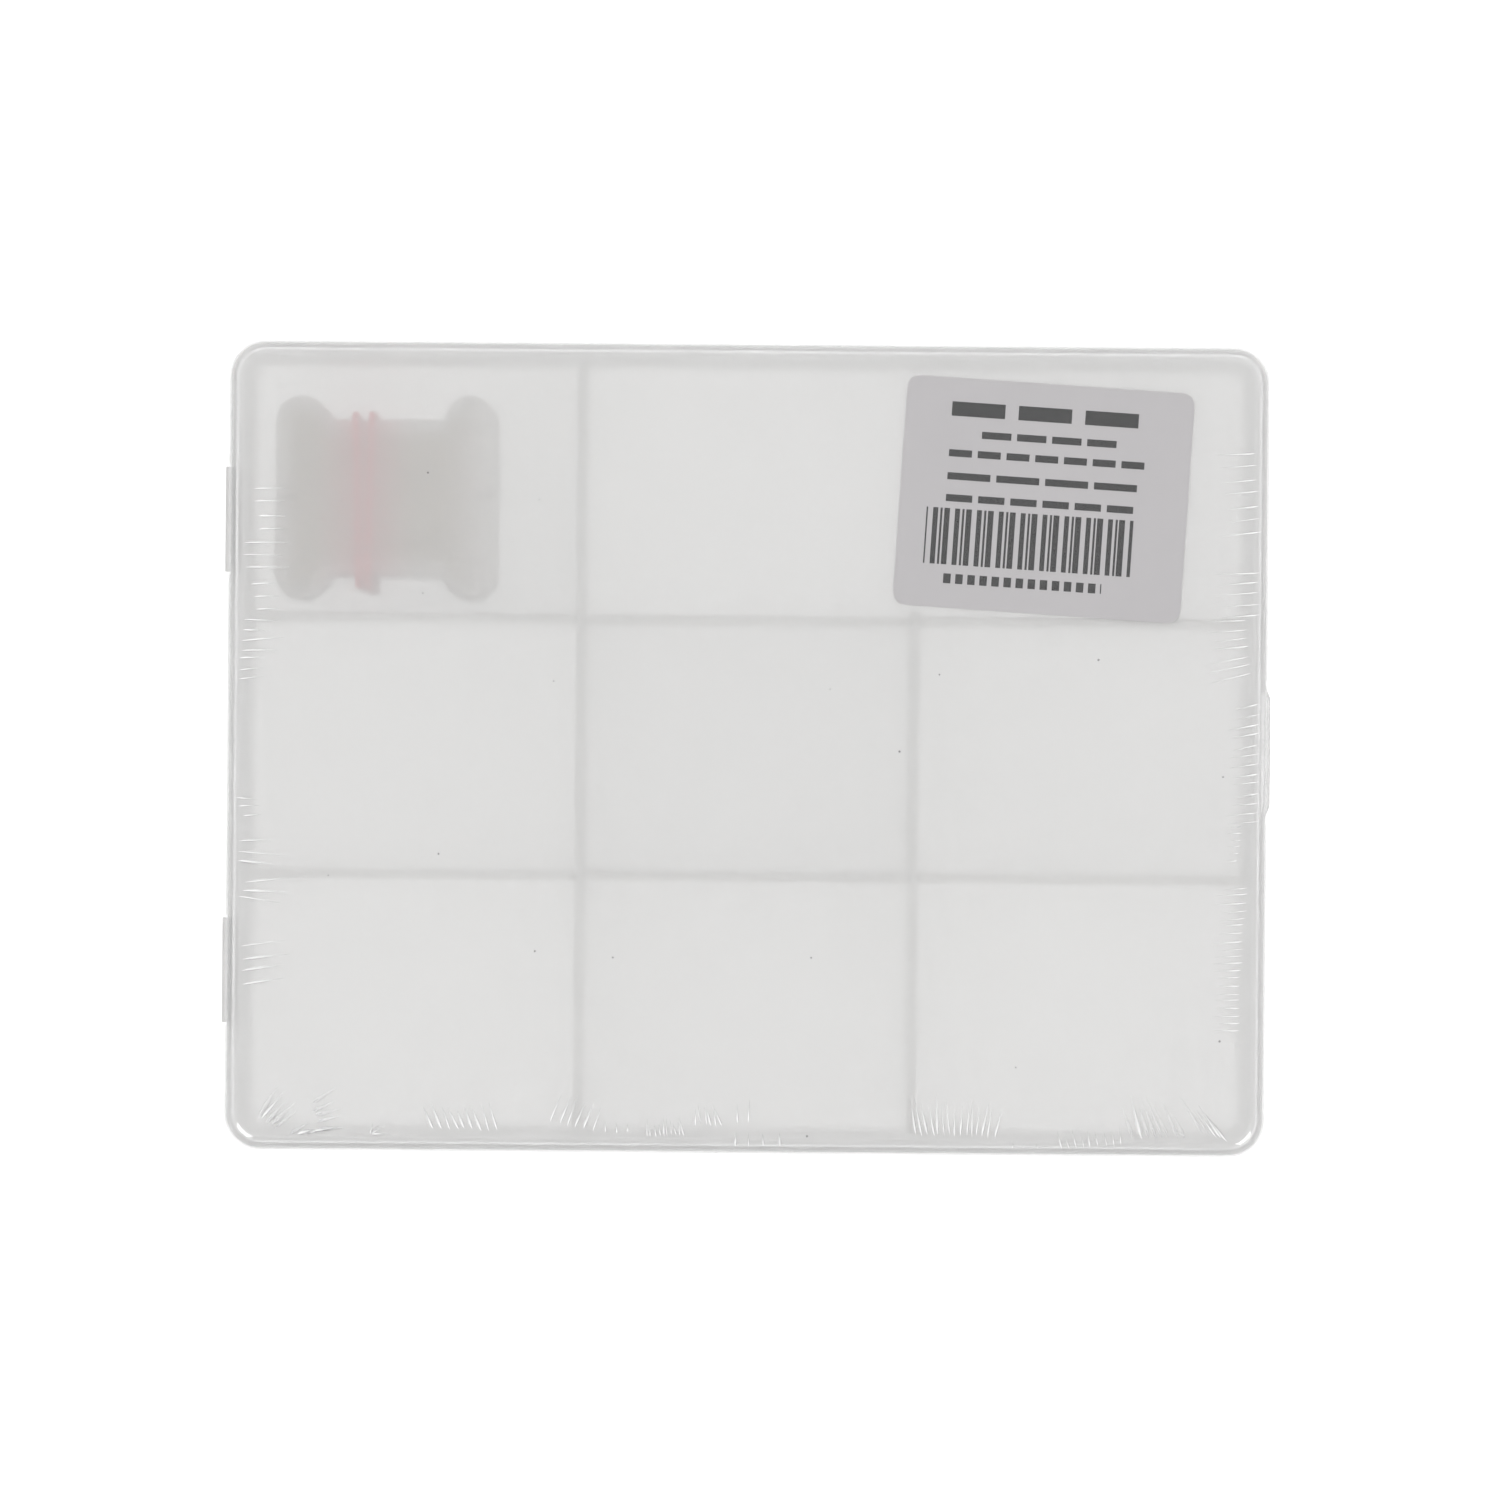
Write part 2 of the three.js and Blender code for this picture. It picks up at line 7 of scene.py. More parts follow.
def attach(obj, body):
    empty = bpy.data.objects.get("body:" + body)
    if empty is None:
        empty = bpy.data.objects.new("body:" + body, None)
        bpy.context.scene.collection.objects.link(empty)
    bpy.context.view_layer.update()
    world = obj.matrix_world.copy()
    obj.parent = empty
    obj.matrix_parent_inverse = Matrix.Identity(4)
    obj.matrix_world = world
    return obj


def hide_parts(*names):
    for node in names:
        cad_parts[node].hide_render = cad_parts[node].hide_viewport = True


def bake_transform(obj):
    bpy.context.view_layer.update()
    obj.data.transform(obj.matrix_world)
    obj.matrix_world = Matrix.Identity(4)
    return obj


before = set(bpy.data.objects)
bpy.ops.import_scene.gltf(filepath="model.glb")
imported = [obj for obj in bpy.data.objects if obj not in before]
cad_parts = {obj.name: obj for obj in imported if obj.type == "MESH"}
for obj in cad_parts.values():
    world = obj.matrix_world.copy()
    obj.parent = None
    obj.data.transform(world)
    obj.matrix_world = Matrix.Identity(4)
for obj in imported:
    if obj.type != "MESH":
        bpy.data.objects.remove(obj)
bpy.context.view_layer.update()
bpy.context.scene.view_settings.view_transform = "Standard"

# Sizes in the dictionaries are millimetres and degrees. Meshes are built in metres.
mm = 0.001


def operator(operation, reflected=False):
    def apply(wire, other):
        values = [other, wire] if reflected else [wire, other]
        return wire.graph.call(operation, *values)

    return apply


class Wire:
    # an output socket that sums, products and comparisons can be made of
    def __init__(self, graph, socket):
        self.graph = graph
        self.socket = socket

    __add__ = __radd__ = operator("ADD")
    __sub__ = operator("SUBTRACT")
    __rsub__ = operator("SUBTRACT", True)
    __mul__ = __rmul__ = operator("MULTIPLY")
    __truediv__ = operator("DIVIDE")
    __pow__ = operator("POWER")
    __gt__ = operator("GREATER_THAN")
    __lt__ = operator("LESS_THAN")

    def __abs__(self):
        return self.graph.call("ABSOLUTE", self)


class Graph:
    # node() takes a node's type, its settings, then the values or wires of its sockets
    def __init__(self, tree):
        self.tree = tree

    def node(self, kind, settings=None, sockets=None, output=0):
        made = self.tree.nodes.new(kind)
        for name, value in (settings or {}).items():
            setattr(made, name, value)
        named = sockets.items() if isinstance(sockets, dict) else enumerate(sockets or [])
        for key, value in named:
            socket = self.pick(made.inputs, key)
            if isinstance(value, Wire):
                self.tree.links.new(value.socket, socket)
            else:
                socket.default_value = value
        return Wire(self, self.pick(made.outputs, output))

    def pick(self, sockets, key):
        shown = [socket for socket in sockets if socket.enabled]
        if isinstance(key, int):
            return shown[key]
        return next(socket for socket in shown if socket.name == key)

    def objectPlace(self):
        return self.node("ShaderNodeTexCoord", output="Object")

    def noise(self, place, scale, detail=2.0):
        return self.node("ShaderNodeTexNoise", {}, {"Vector": place, "Scale": scale, "Detail": detail})

    def split(self, vector):
        parts = self.node("ShaderNodeSeparateXYZ", {}, [vector])
        return [Wire(self, socket) for socket in parts.socket.node.outputs]

    def blend(self, factor, first, second):
        return self.node("ShaderNodeMix", {"data_type": "RGBA"}, {"Factor": factor, "A": first, "B": second})

    def bump(self, height, distance):
        return self.node("ShaderNodeBump", {}, {"Distance": distance, "Height": height})

    def combine(self, *values):
        return self.node("ShaderNodeCombineXYZ", {}, values)

    def call(self, operation, *values):
        return self.node("ShaderNodeMath", {"operation": operation}, values)

    def smaller(self, first, second):
        return self.call("MINIMUM", first, second)

    def larger(self, first, second):
        return self.call("MAXIMUM", first, second)

    def attribute(self, name):
        return self.node("ShaderNodeAttribute", {"attribute_name": name}, output="Fac")

    def ramp(self, value, low, high):
        # 0 at low and 1 at high, with soft ends
        soft = {"interpolation_type": "SMOOTHSTEP"}
        return self.node("ShaderNodeMapRange", soft, {"Value": value, "From Min": low, "From Max": high})

    def inside(self, value, middle, halfWidth):
        return abs(value - middle) < halfWidth


def grey(shade):
    return (shade, shade, shade, 1.0)


def opaque(colour):
    return (*colour, 1.0)


def newFinish(name):
    material = bpy.data.materials.new(name)
    material.use_nodes = True
    material.node_tree.nodes.clear()
    return material, Graph(material.node_tree)


def endFinish(graph, sockets, haze=0, hazeRoughness=0):
    # haze is the share of a second, rougher layer that scatters more widely
    shader = graph.node("ShaderNodeBsdfPrincipled", {}, sockets)
    if haze:
        rough = graph.node("ShaderNodeBsdfPrincipled", {}, {**sockets, "Roughness": hazeRoughness})
        shader = graph.node("ShaderNodeMixShader", {}, [haze, shader, rough])
    output = graph.tree.nodes.new("ShaderNodeOutputMaterial")
    graph.tree.links.new(shader.socket, output.inputs["Surface"])


def endMatte(graph, look, colour, relief, height):
    endFinish(graph, {
        "Base Color": colour,
        "Roughness": look["roughness"],
        "Specular IOR Level": look["specular"],
        "Normal": graph.bump(relief, height * mm),
    })


# Meshes

def roundedCorners(length, width, radius, steps):
    # a rectangle with round corners, anticlockwise from the thumb tab's side
    points = []
    for corner in range(4):
        middle = (corner + 0.5) * math.pi / 2
        centreX = math.copysign(length / 2 - radius, math.cos(middle))
        centreY = math.copysign(width / 2 - radius, math.sin(middle))
        for step in range(steps + 1):
            angle = (corner + step / steps) * math.pi / 2
            points.append((centreX + radius * math.cos(angle), centreY + radius * math.sin(angle)))
    return points


def ring(inset, z):
    # the box's rounded outline at a height
    size = [outline[name] - 2 * inset for name in ("length", "width")]
    flat = roundedCorners(*size, outline["cornerRadius"] - inset, outline["cornerSteps"])
    return [(x, y, z) for x, y in flat]


def roundedProfile(corners, steps=8, support=0.12):
    # a path of (inset, z, radius) corners, each rounded, with points just off both ends of each arc
    path = []
    for i, (x, z, radius) in enumerate(corners):
        here = Vector((x, z))
        if radius == 0:
            path.append(here)
            continue
        before = (Vector(corners[i - 1][:2]) - here).normalized()
        after = (Vector(corners[(i + 1) % len(corners)][:2]) - here).normalized()
        half = before.angle(after) / 2
        reach = radius / math.tan(half)
        centre = here + (before + after).normalized() * radius / math.sin(half)
        first = here + before * reach
        last = here + after * reach
        path.append(first + before * support)
        spokes = [(end - centre).normalized() for end in (first, last)]
        for step in range(steps + 1):
            path.append(centre + spokes[0].slerp(spokes[1], step / steps) * radius)
        path.append(last + after * support)
    return path


def loft(name, rings, closes=False):
    count = len(rings[0])
    spans = len(rings) if closes else len(rings) - 1
    faces = []
    for span in range(spans):
        here = span * count
        there = (span + 1) % len(rings) * count
        for i in range(count):
            j = (i + 1) % count
            faces.append((here + i, here + j, there + j, there + i))
    if not closes:
        faces.append(tuple(reversed(range(count))))
        faces.append(tuple(range((len(rings) - 1) * count, len(rings) * count)))
    return solid(name, [point for one in rings for point in one], faces)


def solid(name, points, faces):
    # a piece in metres from points in millimetres, with its faces turned outwards
    mesh = bpy.data.meshes.new(name)
    mesh.from_pydata([Vector(point) * mm for point in points], [], faces)
    form = bmesh.new()
    form.from_mesh(mesh)
    bmesh.ops.recalc_face_normals(form, faces=form.faces)
    form.to_mesh(mesh)
    form.free()
    return newPiece(name, mesh)


def prism(name, outline2d, depth, place):
    # a flat outline pushed out by depth. place turns (u, v, w) into the part's x, y, z
    return loft(name, [[place(u, v, w) for u, v in outline2d] for w in (0, depth)])


def newPiece(name, data):
    piece = bpy.data.objects.new(name, data)
    bpy.context.scene.collection.objects.link(piece)
    return piece


def settle(piece):
    # turns what the modifiers make into the piece's own mesh
    bpy.context.view_layer.update()
    graph = bpy.context.evaluated_depsgraph_get()
    mesh = bpy.data.meshes.new_from_object(piece.evaluated_get(graph))
    piece.modifiers.clear()
    piece.data = mesh
    return piece


def carve(piece, tool, operation):
    modifier = piece.modifiers.new("carve", "BOOLEAN")
    modifier.operation = operation
    modifier.solver = "EXACT"
    modifier.object = tool
    settle(piece)
    bpy.data.objects.remove(tool)


def soften(piece, width, segments=2, angle=30):
    modifier = piece.modifiers.new("edge", "BEVEL")
    modifier.width = width * mm
    modifier.segments = segments
    modifier.limit_method = "ANGLE"
    modifier.angle_limit = math.radians(angle)
    return settle(piece)


def dress(piece, finish, body, nodes, sharp=32):
    # clean normals, smooth faces with sharp edges kept, then the finish and the body
    form = bmesh.new()
    form.from_mesh(piece.data)
    bmesh.ops.remove_doubles(form, verts=form.verts, dist=1e-7)
    bmesh.ops.recalc_face_normals(form, faces=form.faces)
    for face in form.faces:
        face.smooth = True
        face.material_index = 0
    for edge in form.edges:
        edge.smooth = edge.calc_face_angle(0) < math.radians(sharp)
    form.to_mesh(piece.data)
    form.free()
    piece.data.materials.clear()
    piece.data.materials.append(finish)
    if body:
        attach(piece, body)
    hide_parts(*nodes)


# Camera, straight above, as in the photograph

shot = {
    "aim": (0.52, -0.26), "turn": 0.45, "distance": 2500, "planeHeight": 40,
    "frameWidth": 260.4, "sensor": 36, "clipEnd": 20000,
}


def makeCamera():
    data = bpy.data.cameras.new("camera")
    data.sensor_width = shot["sensor"]
    data.lens = shot["sensor"] * shot["distance"] / shot["frameWidth"]
    data.clip_end = shot["clipEnd"] * mm
    camera = newPiece("camera", data)
    height = shot["planeHeight"] + shot["distance"]
    camera.location = Vector((*shot["aim"], height)) * mm
    camera.rotation_euler = (0, 0, math.radians(shot["turn"]))
    bpy.context.scene.camera = camera


makeCamera()
print("camera ready")

# Floor, world and lamps

studio = {
    "floorSize": 12000, "floorDrop": 0.2, "floorShade": 0.50, "floorMottle": 0.01, "floorGrain": 900.0,
    "floorGlow": 0.74, "floorRoughness": 0.9, "floorSpecular": 0.1,
    "worldLight": 0.95, "worldSlope": 0.3, "worldSeen": 1.0,
    "lampSize": 520, "lampRadiance": 2.5, "lampPlaces": [(-1100, 250, 620), (1100, 250, 620)],
    "glintSize": 420, "glintRadiance": 5.0, "glintPlaces": [(-520, -520, 860), (520, -520, 860)],
}


def seenRay(graph):
    kinds = ("Camera", "Glossy", "Transmission")
    camera, glossy, through = [graph.node("ShaderNodeLightPath", output=f"Is {kind} Ray") for kind in kinds]
    return graph.larger(graph.larger(camera, glossy), through)


def makeFloor():
    half = studio["floorSize"] / 2
    corners = [(-half, -half), (half, -half), (half, half), (-half, half)]
    floor = solid("floor", [(x, y, -studio["floorDrop"]) for x, y in corners], [(0, 1, 2, 3)])
    material, graph = newFinish("pale_floor")
    grain = graph.noise(graph.objectPlace(), studio["floorGrain"])
    low = studio["floorShade"] - studio["floorMottle"]
    high = studio["floorShade"] + studio["floorMottle"]
    endFinish(graph, {
        "Base Color": graph.blend(grain, grey(low), grey(high)),
        "Roughness": studio["floorRoughness"],
        "Specular IOR Level": studio["floorSpecular"],
        "Emission Color": graph.blend(seenRay(graph), grey(0.0), grey(studio["floorGlow"])),
        "Emission Strength": 1.0,
    })
    floor.data.materials.append(material)


def makeWorld():
    world = bpy.data.worlds.new("soft_white_room")
    bpy.context.scene.world = world
    world.use_nodes = True
    world.node_tree.nodes.clear()
    graph = Graph(world.node_tree)
    # the room is a little brighter behind the box than before it
    rearwards = graph.split(graph.node("ShaderNodeTexCoord", output="Generated"))[1]
    soft = rearwards * studio["worldSlope"] + studio["worldLight"]
    seen = seenRay(graph)
    strength = soft + seen * (studio["worldSeen"] - soft)
    light = graph.node("ShaderNodeBackground", {}, {"Color": grey(1.0), "Strength": strength})
    output = world.node_tree.nodes.new("ShaderNodeOutputWorld")
    world.node_tree.links.new(light.socket, output.inputs["Surface"])


def makeLamps(kind, hiddenFrom):
    for number, place in enumerate(studio[kind + "Places"]):
        data = bpy.data.lights.new(f"{kind}_{number}", "AREA")
        data.shape = "SQUARE"
        data.size = studio[kind + "Size"] * mm
        data.energy = studio[kind + "Radiance"] * math.pi * data.size ** 2
        lamp = newPiece(f"{kind}_{number}", data)
        lamp.location = Vector(place) * mm
        lamp.rotation_euler = (-lamp.location).to_track_quat("-Z", "Y").to_euler()
        lamp.visible_transmission = False
        setattr(lamp, "visible_" + hiddenFrom, False)


makeFloor()
makeWorld()
makeLamps("lamp", "glossy")
makeLamps("glint", "diffuse")
print("studio ready")

# Finishes of the moulded plastic

frosted = {
    "tray": {"shade": 0.990, "warmth": (1.0, 0.995, 0.986), "clear": 0.84, "roughness": 0.40, "grain": 0.006},
    "lid": {
        "shade": 0.994, "warmth": (1.0, 0.998, 0.997), "clear": 0.70, "roughness": 0.13, "grain": 0.003,
        "haze": 0.14, "hazeRoughness": 0.60,
    },
    "divider": {
        "shade": 0.991, "warmth": (1.0, 0.992, 0.968), "clear": 0.04, "roughness": 0.50, "grain": 0.006,
    },
    "strap": {"shade": 0.97, "warmth": (1.0, 0.996, 0.988), "clear": 0.60, "roughness": 0.50, "grain": 0.006},
}
plastic = {
    "grainScale": 2600.0, "cloudScale": 24.0, "cloudDetail": 3.0, "cloudDepth": 0.008, "ior": 1.49,
    "speckScale": 60.0, "speckSize": 0.013, "speckShare": 0.55, "speckShade": 0.25, "speckFloor": 39.9,
}


def frostedFinish(name, look):
    material, graph = newFinish(name)
    place = graph.objectPlace()
    cloud = graph.noise(place, plastic["cloudScale"], plastic["cloudDetail"])
    shades = [look["shade"] + way * plastic["cloudDepth"] for way in (-1, 1)]
    colour = graph.blend(cloud, *[opaque([shade * part for part in look["warmth"]]) for shade in shades])
    flat = {"voronoi_dimensions": "2D"}
    cells = graph.node("ShaderNodeTexVoronoi", flat, {"Vector": place, "Scale": plastic["speckScale"]})
    draw = graph.split(Wire(graph, cells.socket.node.outputs["Color"]))
    onTop = graph.split(place)[2] > plastic["speckFloor"] * mm
    speck = (cells < draw[1] * plastic["speckSize"]) * (draw[0] > plastic["speckShare"]) * onTop
    grain = graph.noise(place, plastic["grainScale"])
    sockets = {
        "Base Color": graph.blend(speck, colour, grey(plastic["speckShade"])),
        "Roughness": look["roughness"],
        "IOR": plastic["ior"],
        "Transmission Weight": look["clear"],
        "Normal": graph.bump(grain, look["grain"] * mm),
    }
    endFinish(graph, sockets, look.get("haze", 0), look.get("hazeRoughness", 0))
    return material


finishes = {name: frostedFinish(f"frosted_{name}_plastic", look) for name, look in frosted.items()}

# Box outline, shared by tray, lid and film

outline = {"length": 180, "width": 140, "height": 40, "cornerRadius": 6, "cornerSteps": 20, "parting": 32}


def loftProfile(name, path, closes=False):
    return loft(name, [ring(inset, z) for inset, z in path], closes)


# Tray

tray = {
    "inset": 2.0, "wall": 1.4, "floor": 1.4, "footRadius": 1.2, "floorRadius": 0.8, "capInset": 5.4,
    "rim": 38.4, "rimRadius": 0.35, "stepRadius": 0.2,
    "ledgeTop": 31.7, "ledgeBottom": 30.1, "ledgeRadius": 0.3,
}
bead = {
    "length": 18, "footDepth": 1.2, "tipDepth": 0.4, "proud": 0.35, "sunk": 0.6,
    "trayMiddle": 36.8, "lidMiddle": 35.3,
}


def wedge(rootX, faceX, tipX, base, tip):
    # an outline seen along Y or Z, which narrows from its face to its tip
    base, tip = base / 2, tip / 2
    return [(rootX, -base), (faceX, -base), (tipX, -tip), (tipX, tip), (faceX, base), (rootX, base)]


def beadTool(faceX, direction, middleZ):
    rootX = faceX - direction * bead["sunk"]
    tipX = faceX + direction * bead["proud"]
    profile = wedge(rootX, faceX, tipX, bead["footDepth"], bead["tipDepth"])
    length = bead["length"]
    return prism("bead", profile, length, lambda u, v, w: (u, w - length / 2, middleZ + v))


def makeTray():
    inner = tray["inset"] + tray["wall"]
    corners = [
        (tray["capInset"], 0, 0),
        (tray["inset"], 0, tray["footRadius"]),
        (tray["inset"], tray["ledgeBottom"], tray["stepRadius"]),
        (0, tray["ledgeBottom"], tray["ledgeRadius"]),
        (0, tray["ledgeTop"], tray["ledgeRadius"]),
        (tray["inset"], tray["ledgeTop"], tray["stepRadius"]),
        (tray["inset"], tray["rim"], tray["rimRadius"]),
        (inner, tray["rim"], tray["rimRadius"]),
        (inner, tray["floor"], tray["floorRadius"]),
        (tray["capInset"], tray["floor"], 0),
    ]
    piece = loftProfile("tray_shell", roundedProfile(corners))
    wallX = outline["length"] / 2 - tray["inset"]
    carve(piece, beadTool(wallX, 1, bead["trayMiddle"]), "UNION")
    dress(piece, finishes["tray"], "base", ["base_tray"])


makeTray()
print("tray ready")

# Lid with its thumb tab

lid = {"plate": 1.2, "skirt": 1.2, "edgeRadius": 2.4, "insideRadius": 1.2, "footRadius": 0.3, "capInset": 5.4}
tab = {"proud": 1.0, "baseLength": 24, "tipLength": 18.6, "depth": 2.2, "edge": 0.3}


def tabTool():
    wallX = outline["length"] / 2
    rootX = wallX - lid["skirt"] / 2
    profile = wedge(rootX, wallX, wallX + tab["proud"], tab["baseLength"], tab["tipLength"])
    tool = prism("tab", profile, tab["depth"], lambda u, v, w: (u, v, outline["parting"] + w))
    return soften(tool, tab["edge"], segments=3, angle=20)


def makeLid():
    top = outline["height"]
    under = top - lid["plate"]
    corners = [
        (lid["capInset"], under, 0),
        (lid["skirt"], under, lid["insideRadius"]),
        (lid["skirt"], outline["parting"], lid["footRadius"]),
        (0, outline["parting"], lid["footRadius"]),
        (0, top, lid["edgeRadius"]),
        (lid["capInset"], top, 0),
    ]
    piece = loftProfile("lid_shell", roundedProfile(corners))
    skirtX = outline["length"] / 2 - lid["skirt"]
    carve(piece, tabTool(), "UNION")
    carve(piece, beadTool(skirtX, -1, bead["lidMiddle"]), "UNION")
    dress(piece, finishes["lid"], "lid", ["lid"])


makeLid()
print("lid ready")

# Living hinge straps, each built with a straight thin web

strap = {
    "length": 18.2, "middle": 39.2, "proud": 1.0, "lidReach": 3.0, "edge": 0.15,
    "webThickness": 0.4, "webInset": 0.2, "webReach": 0.5, "webSteps": 10, "webMiddle": 31.85,
}


def makeStrap(name, middleY, node):
    wallX = -outline["length"] / 2
    outerX = wallX - strap["proud"]
    webOuterX = outerX + strap["webInset"]
    webInnerX = webOuterX + strap["webThickness"]
    top = strap["webMiddle"] + strap["webReach"]
    bottom = strap["webMiddle"] - strap["webReach"]
    levels = [bottom + (top - bottom) * step / strap["webSteps"] for step in range(strap["webSteps"] + 1)]
    profile = [(outerX, tray["ledgeBottom"]), (wallX, tray["ledgeBottom"]), (wallX, bottom)]
    profile += [(webInnerX, z) for z in levels]
    lidTop = outline["parting"] + strap["lidReach"]
    profile += [(wallX, top), (wallX, lidTop), (outerX, lidTop), (outerX, top)]
    profile += [(webOuterX, z) for z in reversed(levels)]
    profile.append((outerX, bottom))
    low = middleY - strap["length"] / 2
    piece = prism(name, profile, strap["length"], lambda u, v, w: (u, low + w, v))
    soften(piece, strap["edge"], angle=40)
    dress(piece, finishes["strap"], None, [node])
    x = (webOuterX + webInnerX) / 2
    x * mm
    x * mm
    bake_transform(piece)


makeStrap("hinge_web_rear", strap["middle"], "hinge_strap_rear")
makeStrap("hinge_web_front", -strap["middle"], "hinge_strap_front")
print("hinge straps ready")

# Divider plates, half-lapped where they cross

room = {"length": 173.2, "width": 133.2, "floor": 1.4}
divider = {
    "thickness": 1.4, "top": 38.0, "endGap": 0.3, "footCut": 1.0, "lapGap": 0.15, "stub": 0.9, "edge": 0.16,
}


def compartment(side):
    # clear size of one of the three compartments along the box's length or width
    return (room[side] - 2 * divider["thickness"]) / 3


divider["crossX"] = (compartment("length") + divider["thickness"]) / 2
divider["longY"] = (compartment("width") + divider["thickness"]) / 2


def lapNotch(middle, edgeZ, turn):
    halfWidth = divider["thickness"] / 2 + divider["lapGap"]
    bottomZ = (room["floor"] + divider["top"]) / 2 + turn * divider["lapGap"]
    near = middle - turn * halfWidth
    far = middle + turn * halfWidth
    return [(near, edgeZ), (near, bottomZ), (far, bottomZ), (far, edgeZ)]


def dividerOutline(low, high, lowCut, highCut, laps, openUp):
    floor = room["floor"]
    points = [(low, floor + lowCut), (low + lowCut, floor)]
    if not openUp:
        points += [point for at in laps for point in lapNotch(at, floor, 1)]
    points += [(high - highCut, floor), (high, floor + highCut)] if highCut else [(high, floor)]
    points.append((high, divider["top"]))
    if openUp:
        points += [point for at in reversed(laps) for point in lapNotch(at, divider["top"], -1)]
    points.append((low, divider["top"]))
    return points


def makeDivider(name, node, points, middle, alongX):
    near = middle - divider["thickness"] / 2

    def place(u, v, w):
        return (u, near + w, v) if alongX else (near + w, u, v)

    piece = soften(prism(name, points, divider["thickness"], place), divider["edge"])
    dress(piece, finishes["divider"], "base", [node])


def makeDividers():
    cut = divider["footCut"]
    endX = room["length"] / 2 - divider["endGap"]
    endY = room["width"] / 2 - divider["endGap"]
    crossX, longY = divider["crossX"], divider["longY"]
    longPoints = dividerOutline(-endX, endX, cut, cut, [-crossX, crossX], True)
    fullPoints = dividerOutline(-endY, endY, cut, cut, [-longY, longY], False)
    stubY = longY + divider["thickness"] / 2 + divider["stub"]
    shortPoints = dividerOutline(-endY, stubY, cut, 0, [-longY, longY], False)
    makeDivider("divider_long_rear", "long_divider_rear", longPoints, longY, True)
    makeDivider("divider_long_front", "long_divider_front", longPoints, -longY, True)
    makeDivider("divider_cross_left", "cross_divider_left", fullPoints, -crossX, False)
    makeDivider("divider_cross_right", "cross_divider_right", shortPoints, crossX, False)


makeDividers()
print("dividers ready")

# Geometry node trees

def newTree(name, inputs):
    tree = bpy.data.node_groups.new(name, "GeometryNodeTree")
    tree.interface.new_socket("Geometry", in_out="INPUT", socket_type="NodeSocketGeometry")
    for kind, names in inputs.items():
        for title in names:
            tree.interface.new_socket(title, in_out="INPUT", socket_type="NodeSocket" + kind)
    tree.interface.new_socket("Geometry", in_out="OUTPUT", socket_type="NodeSocketGeometry")
    graph = Graph(tree)
    entry = tree.nodes.new("NodeGroupInput")
    return tree, graph, {socket.name: Wire(graph, socket) for socket in entry.outputs if socket.name}


def markCopies(graph, copies, name, value):
    settings = {"data_type": "FLOAT", "domain": "INSTANCE"}
    sockets = {"Geometry": copies, "Name": name, "Value": value}
    return graph.node("GeometryNodeStoreNamedAttribute", settings, sockets)


def endTree(graph, geometry, finish):
    real = graph.node("GeometryNodeRealizeInstances", {}, [geometry])
    done = graph.node("GeometryNodeSetMaterial", {}, {"Geometry": real, "Material": finish})
    output = graph.tree.nodes.new("NodeGroupOutput")
    graph.tree.links.new(done.socket, output.inputs[0])


def runTree(name, tree, mesh, values):
    piece = newPiece(name, mesh)
    modifier = piece.modifiers.new("nodes", "NODES")
    modifier.node_group = tree
    for item in tree.interface.items_tree:
        if item.in_out == "INPUT" and item.name in values:
            modifier[item.identifier] = values[item.name]
    return settle(piece)


# Thread cards

card = {
    "count": 25, "length": 38, "sideGap": 4.3, "thickness": 1.0, "gap": 0.1, "edge": 0.14,
    "earLength": 8.6, "earHeight": 4.0, "earSteps": 12, "neckRadius": 1.4, "neckSteps": 4,
    "slitWidth": 0.6, "slitDepth": 3.5,
    "endGap": 4.3, "offset": 1.7, "bottom": 3.0, "stray": 0.3, "turn": 0.9, "spin": 2.4, "bandOffset": 3.9,
    "shade": (0.48, 0.415, 0.33),
    # painted light: the cards turn lighter towards their right end, between these two x places
    "paintedLitEndShade": (0.86, 0.82, 0.80), "paintedLitEndFrom": -55.0, "paintedLitEndTo": -44.5,
    # painted light: the red band's glow, painted as a pink tint on the board near the band
    "paintedRedGlow": (0.60, 0.10, 0.12), "paintedRedGlowNear": 1.2, "paintedRedGlowFar": 9.5, "paintedRedGlowShare": 0.62,
    # pale, paleDepth and paleShare: painted light, a paler rim along each card's outline
    "pale": (0.88, 0.86, 0.83), "paleDepth": 4.4, "paleShare": 0.95,
    "fade": 0.09, "fadeByCard": 0.5, "fadeByFibre": 0.4, "shuffle": (12.9898, 43758.5453),
    "fibreScale": 1400.0, "fibreStretch": (1.0, 3.5, 1.0), "fibreDetail": 4.0, "fibreHeight": 0.03,
    "roughness": 0.88, "specular": 0.25,
}
card["waist"] = compartment("width") - 2 * card["sideGap"] - 2 * card["earHeight"]
card["stackX"] = -room["length"] / 2 + card["endGap"] + card["length"] / 2
card["stackY"] = (room["width"] - compartment("width")) / 2 - card["offset"]
card["top"] = card["bottom"] + card["count"] * (card["thickness"] + card["gap"]) - card["gap"]


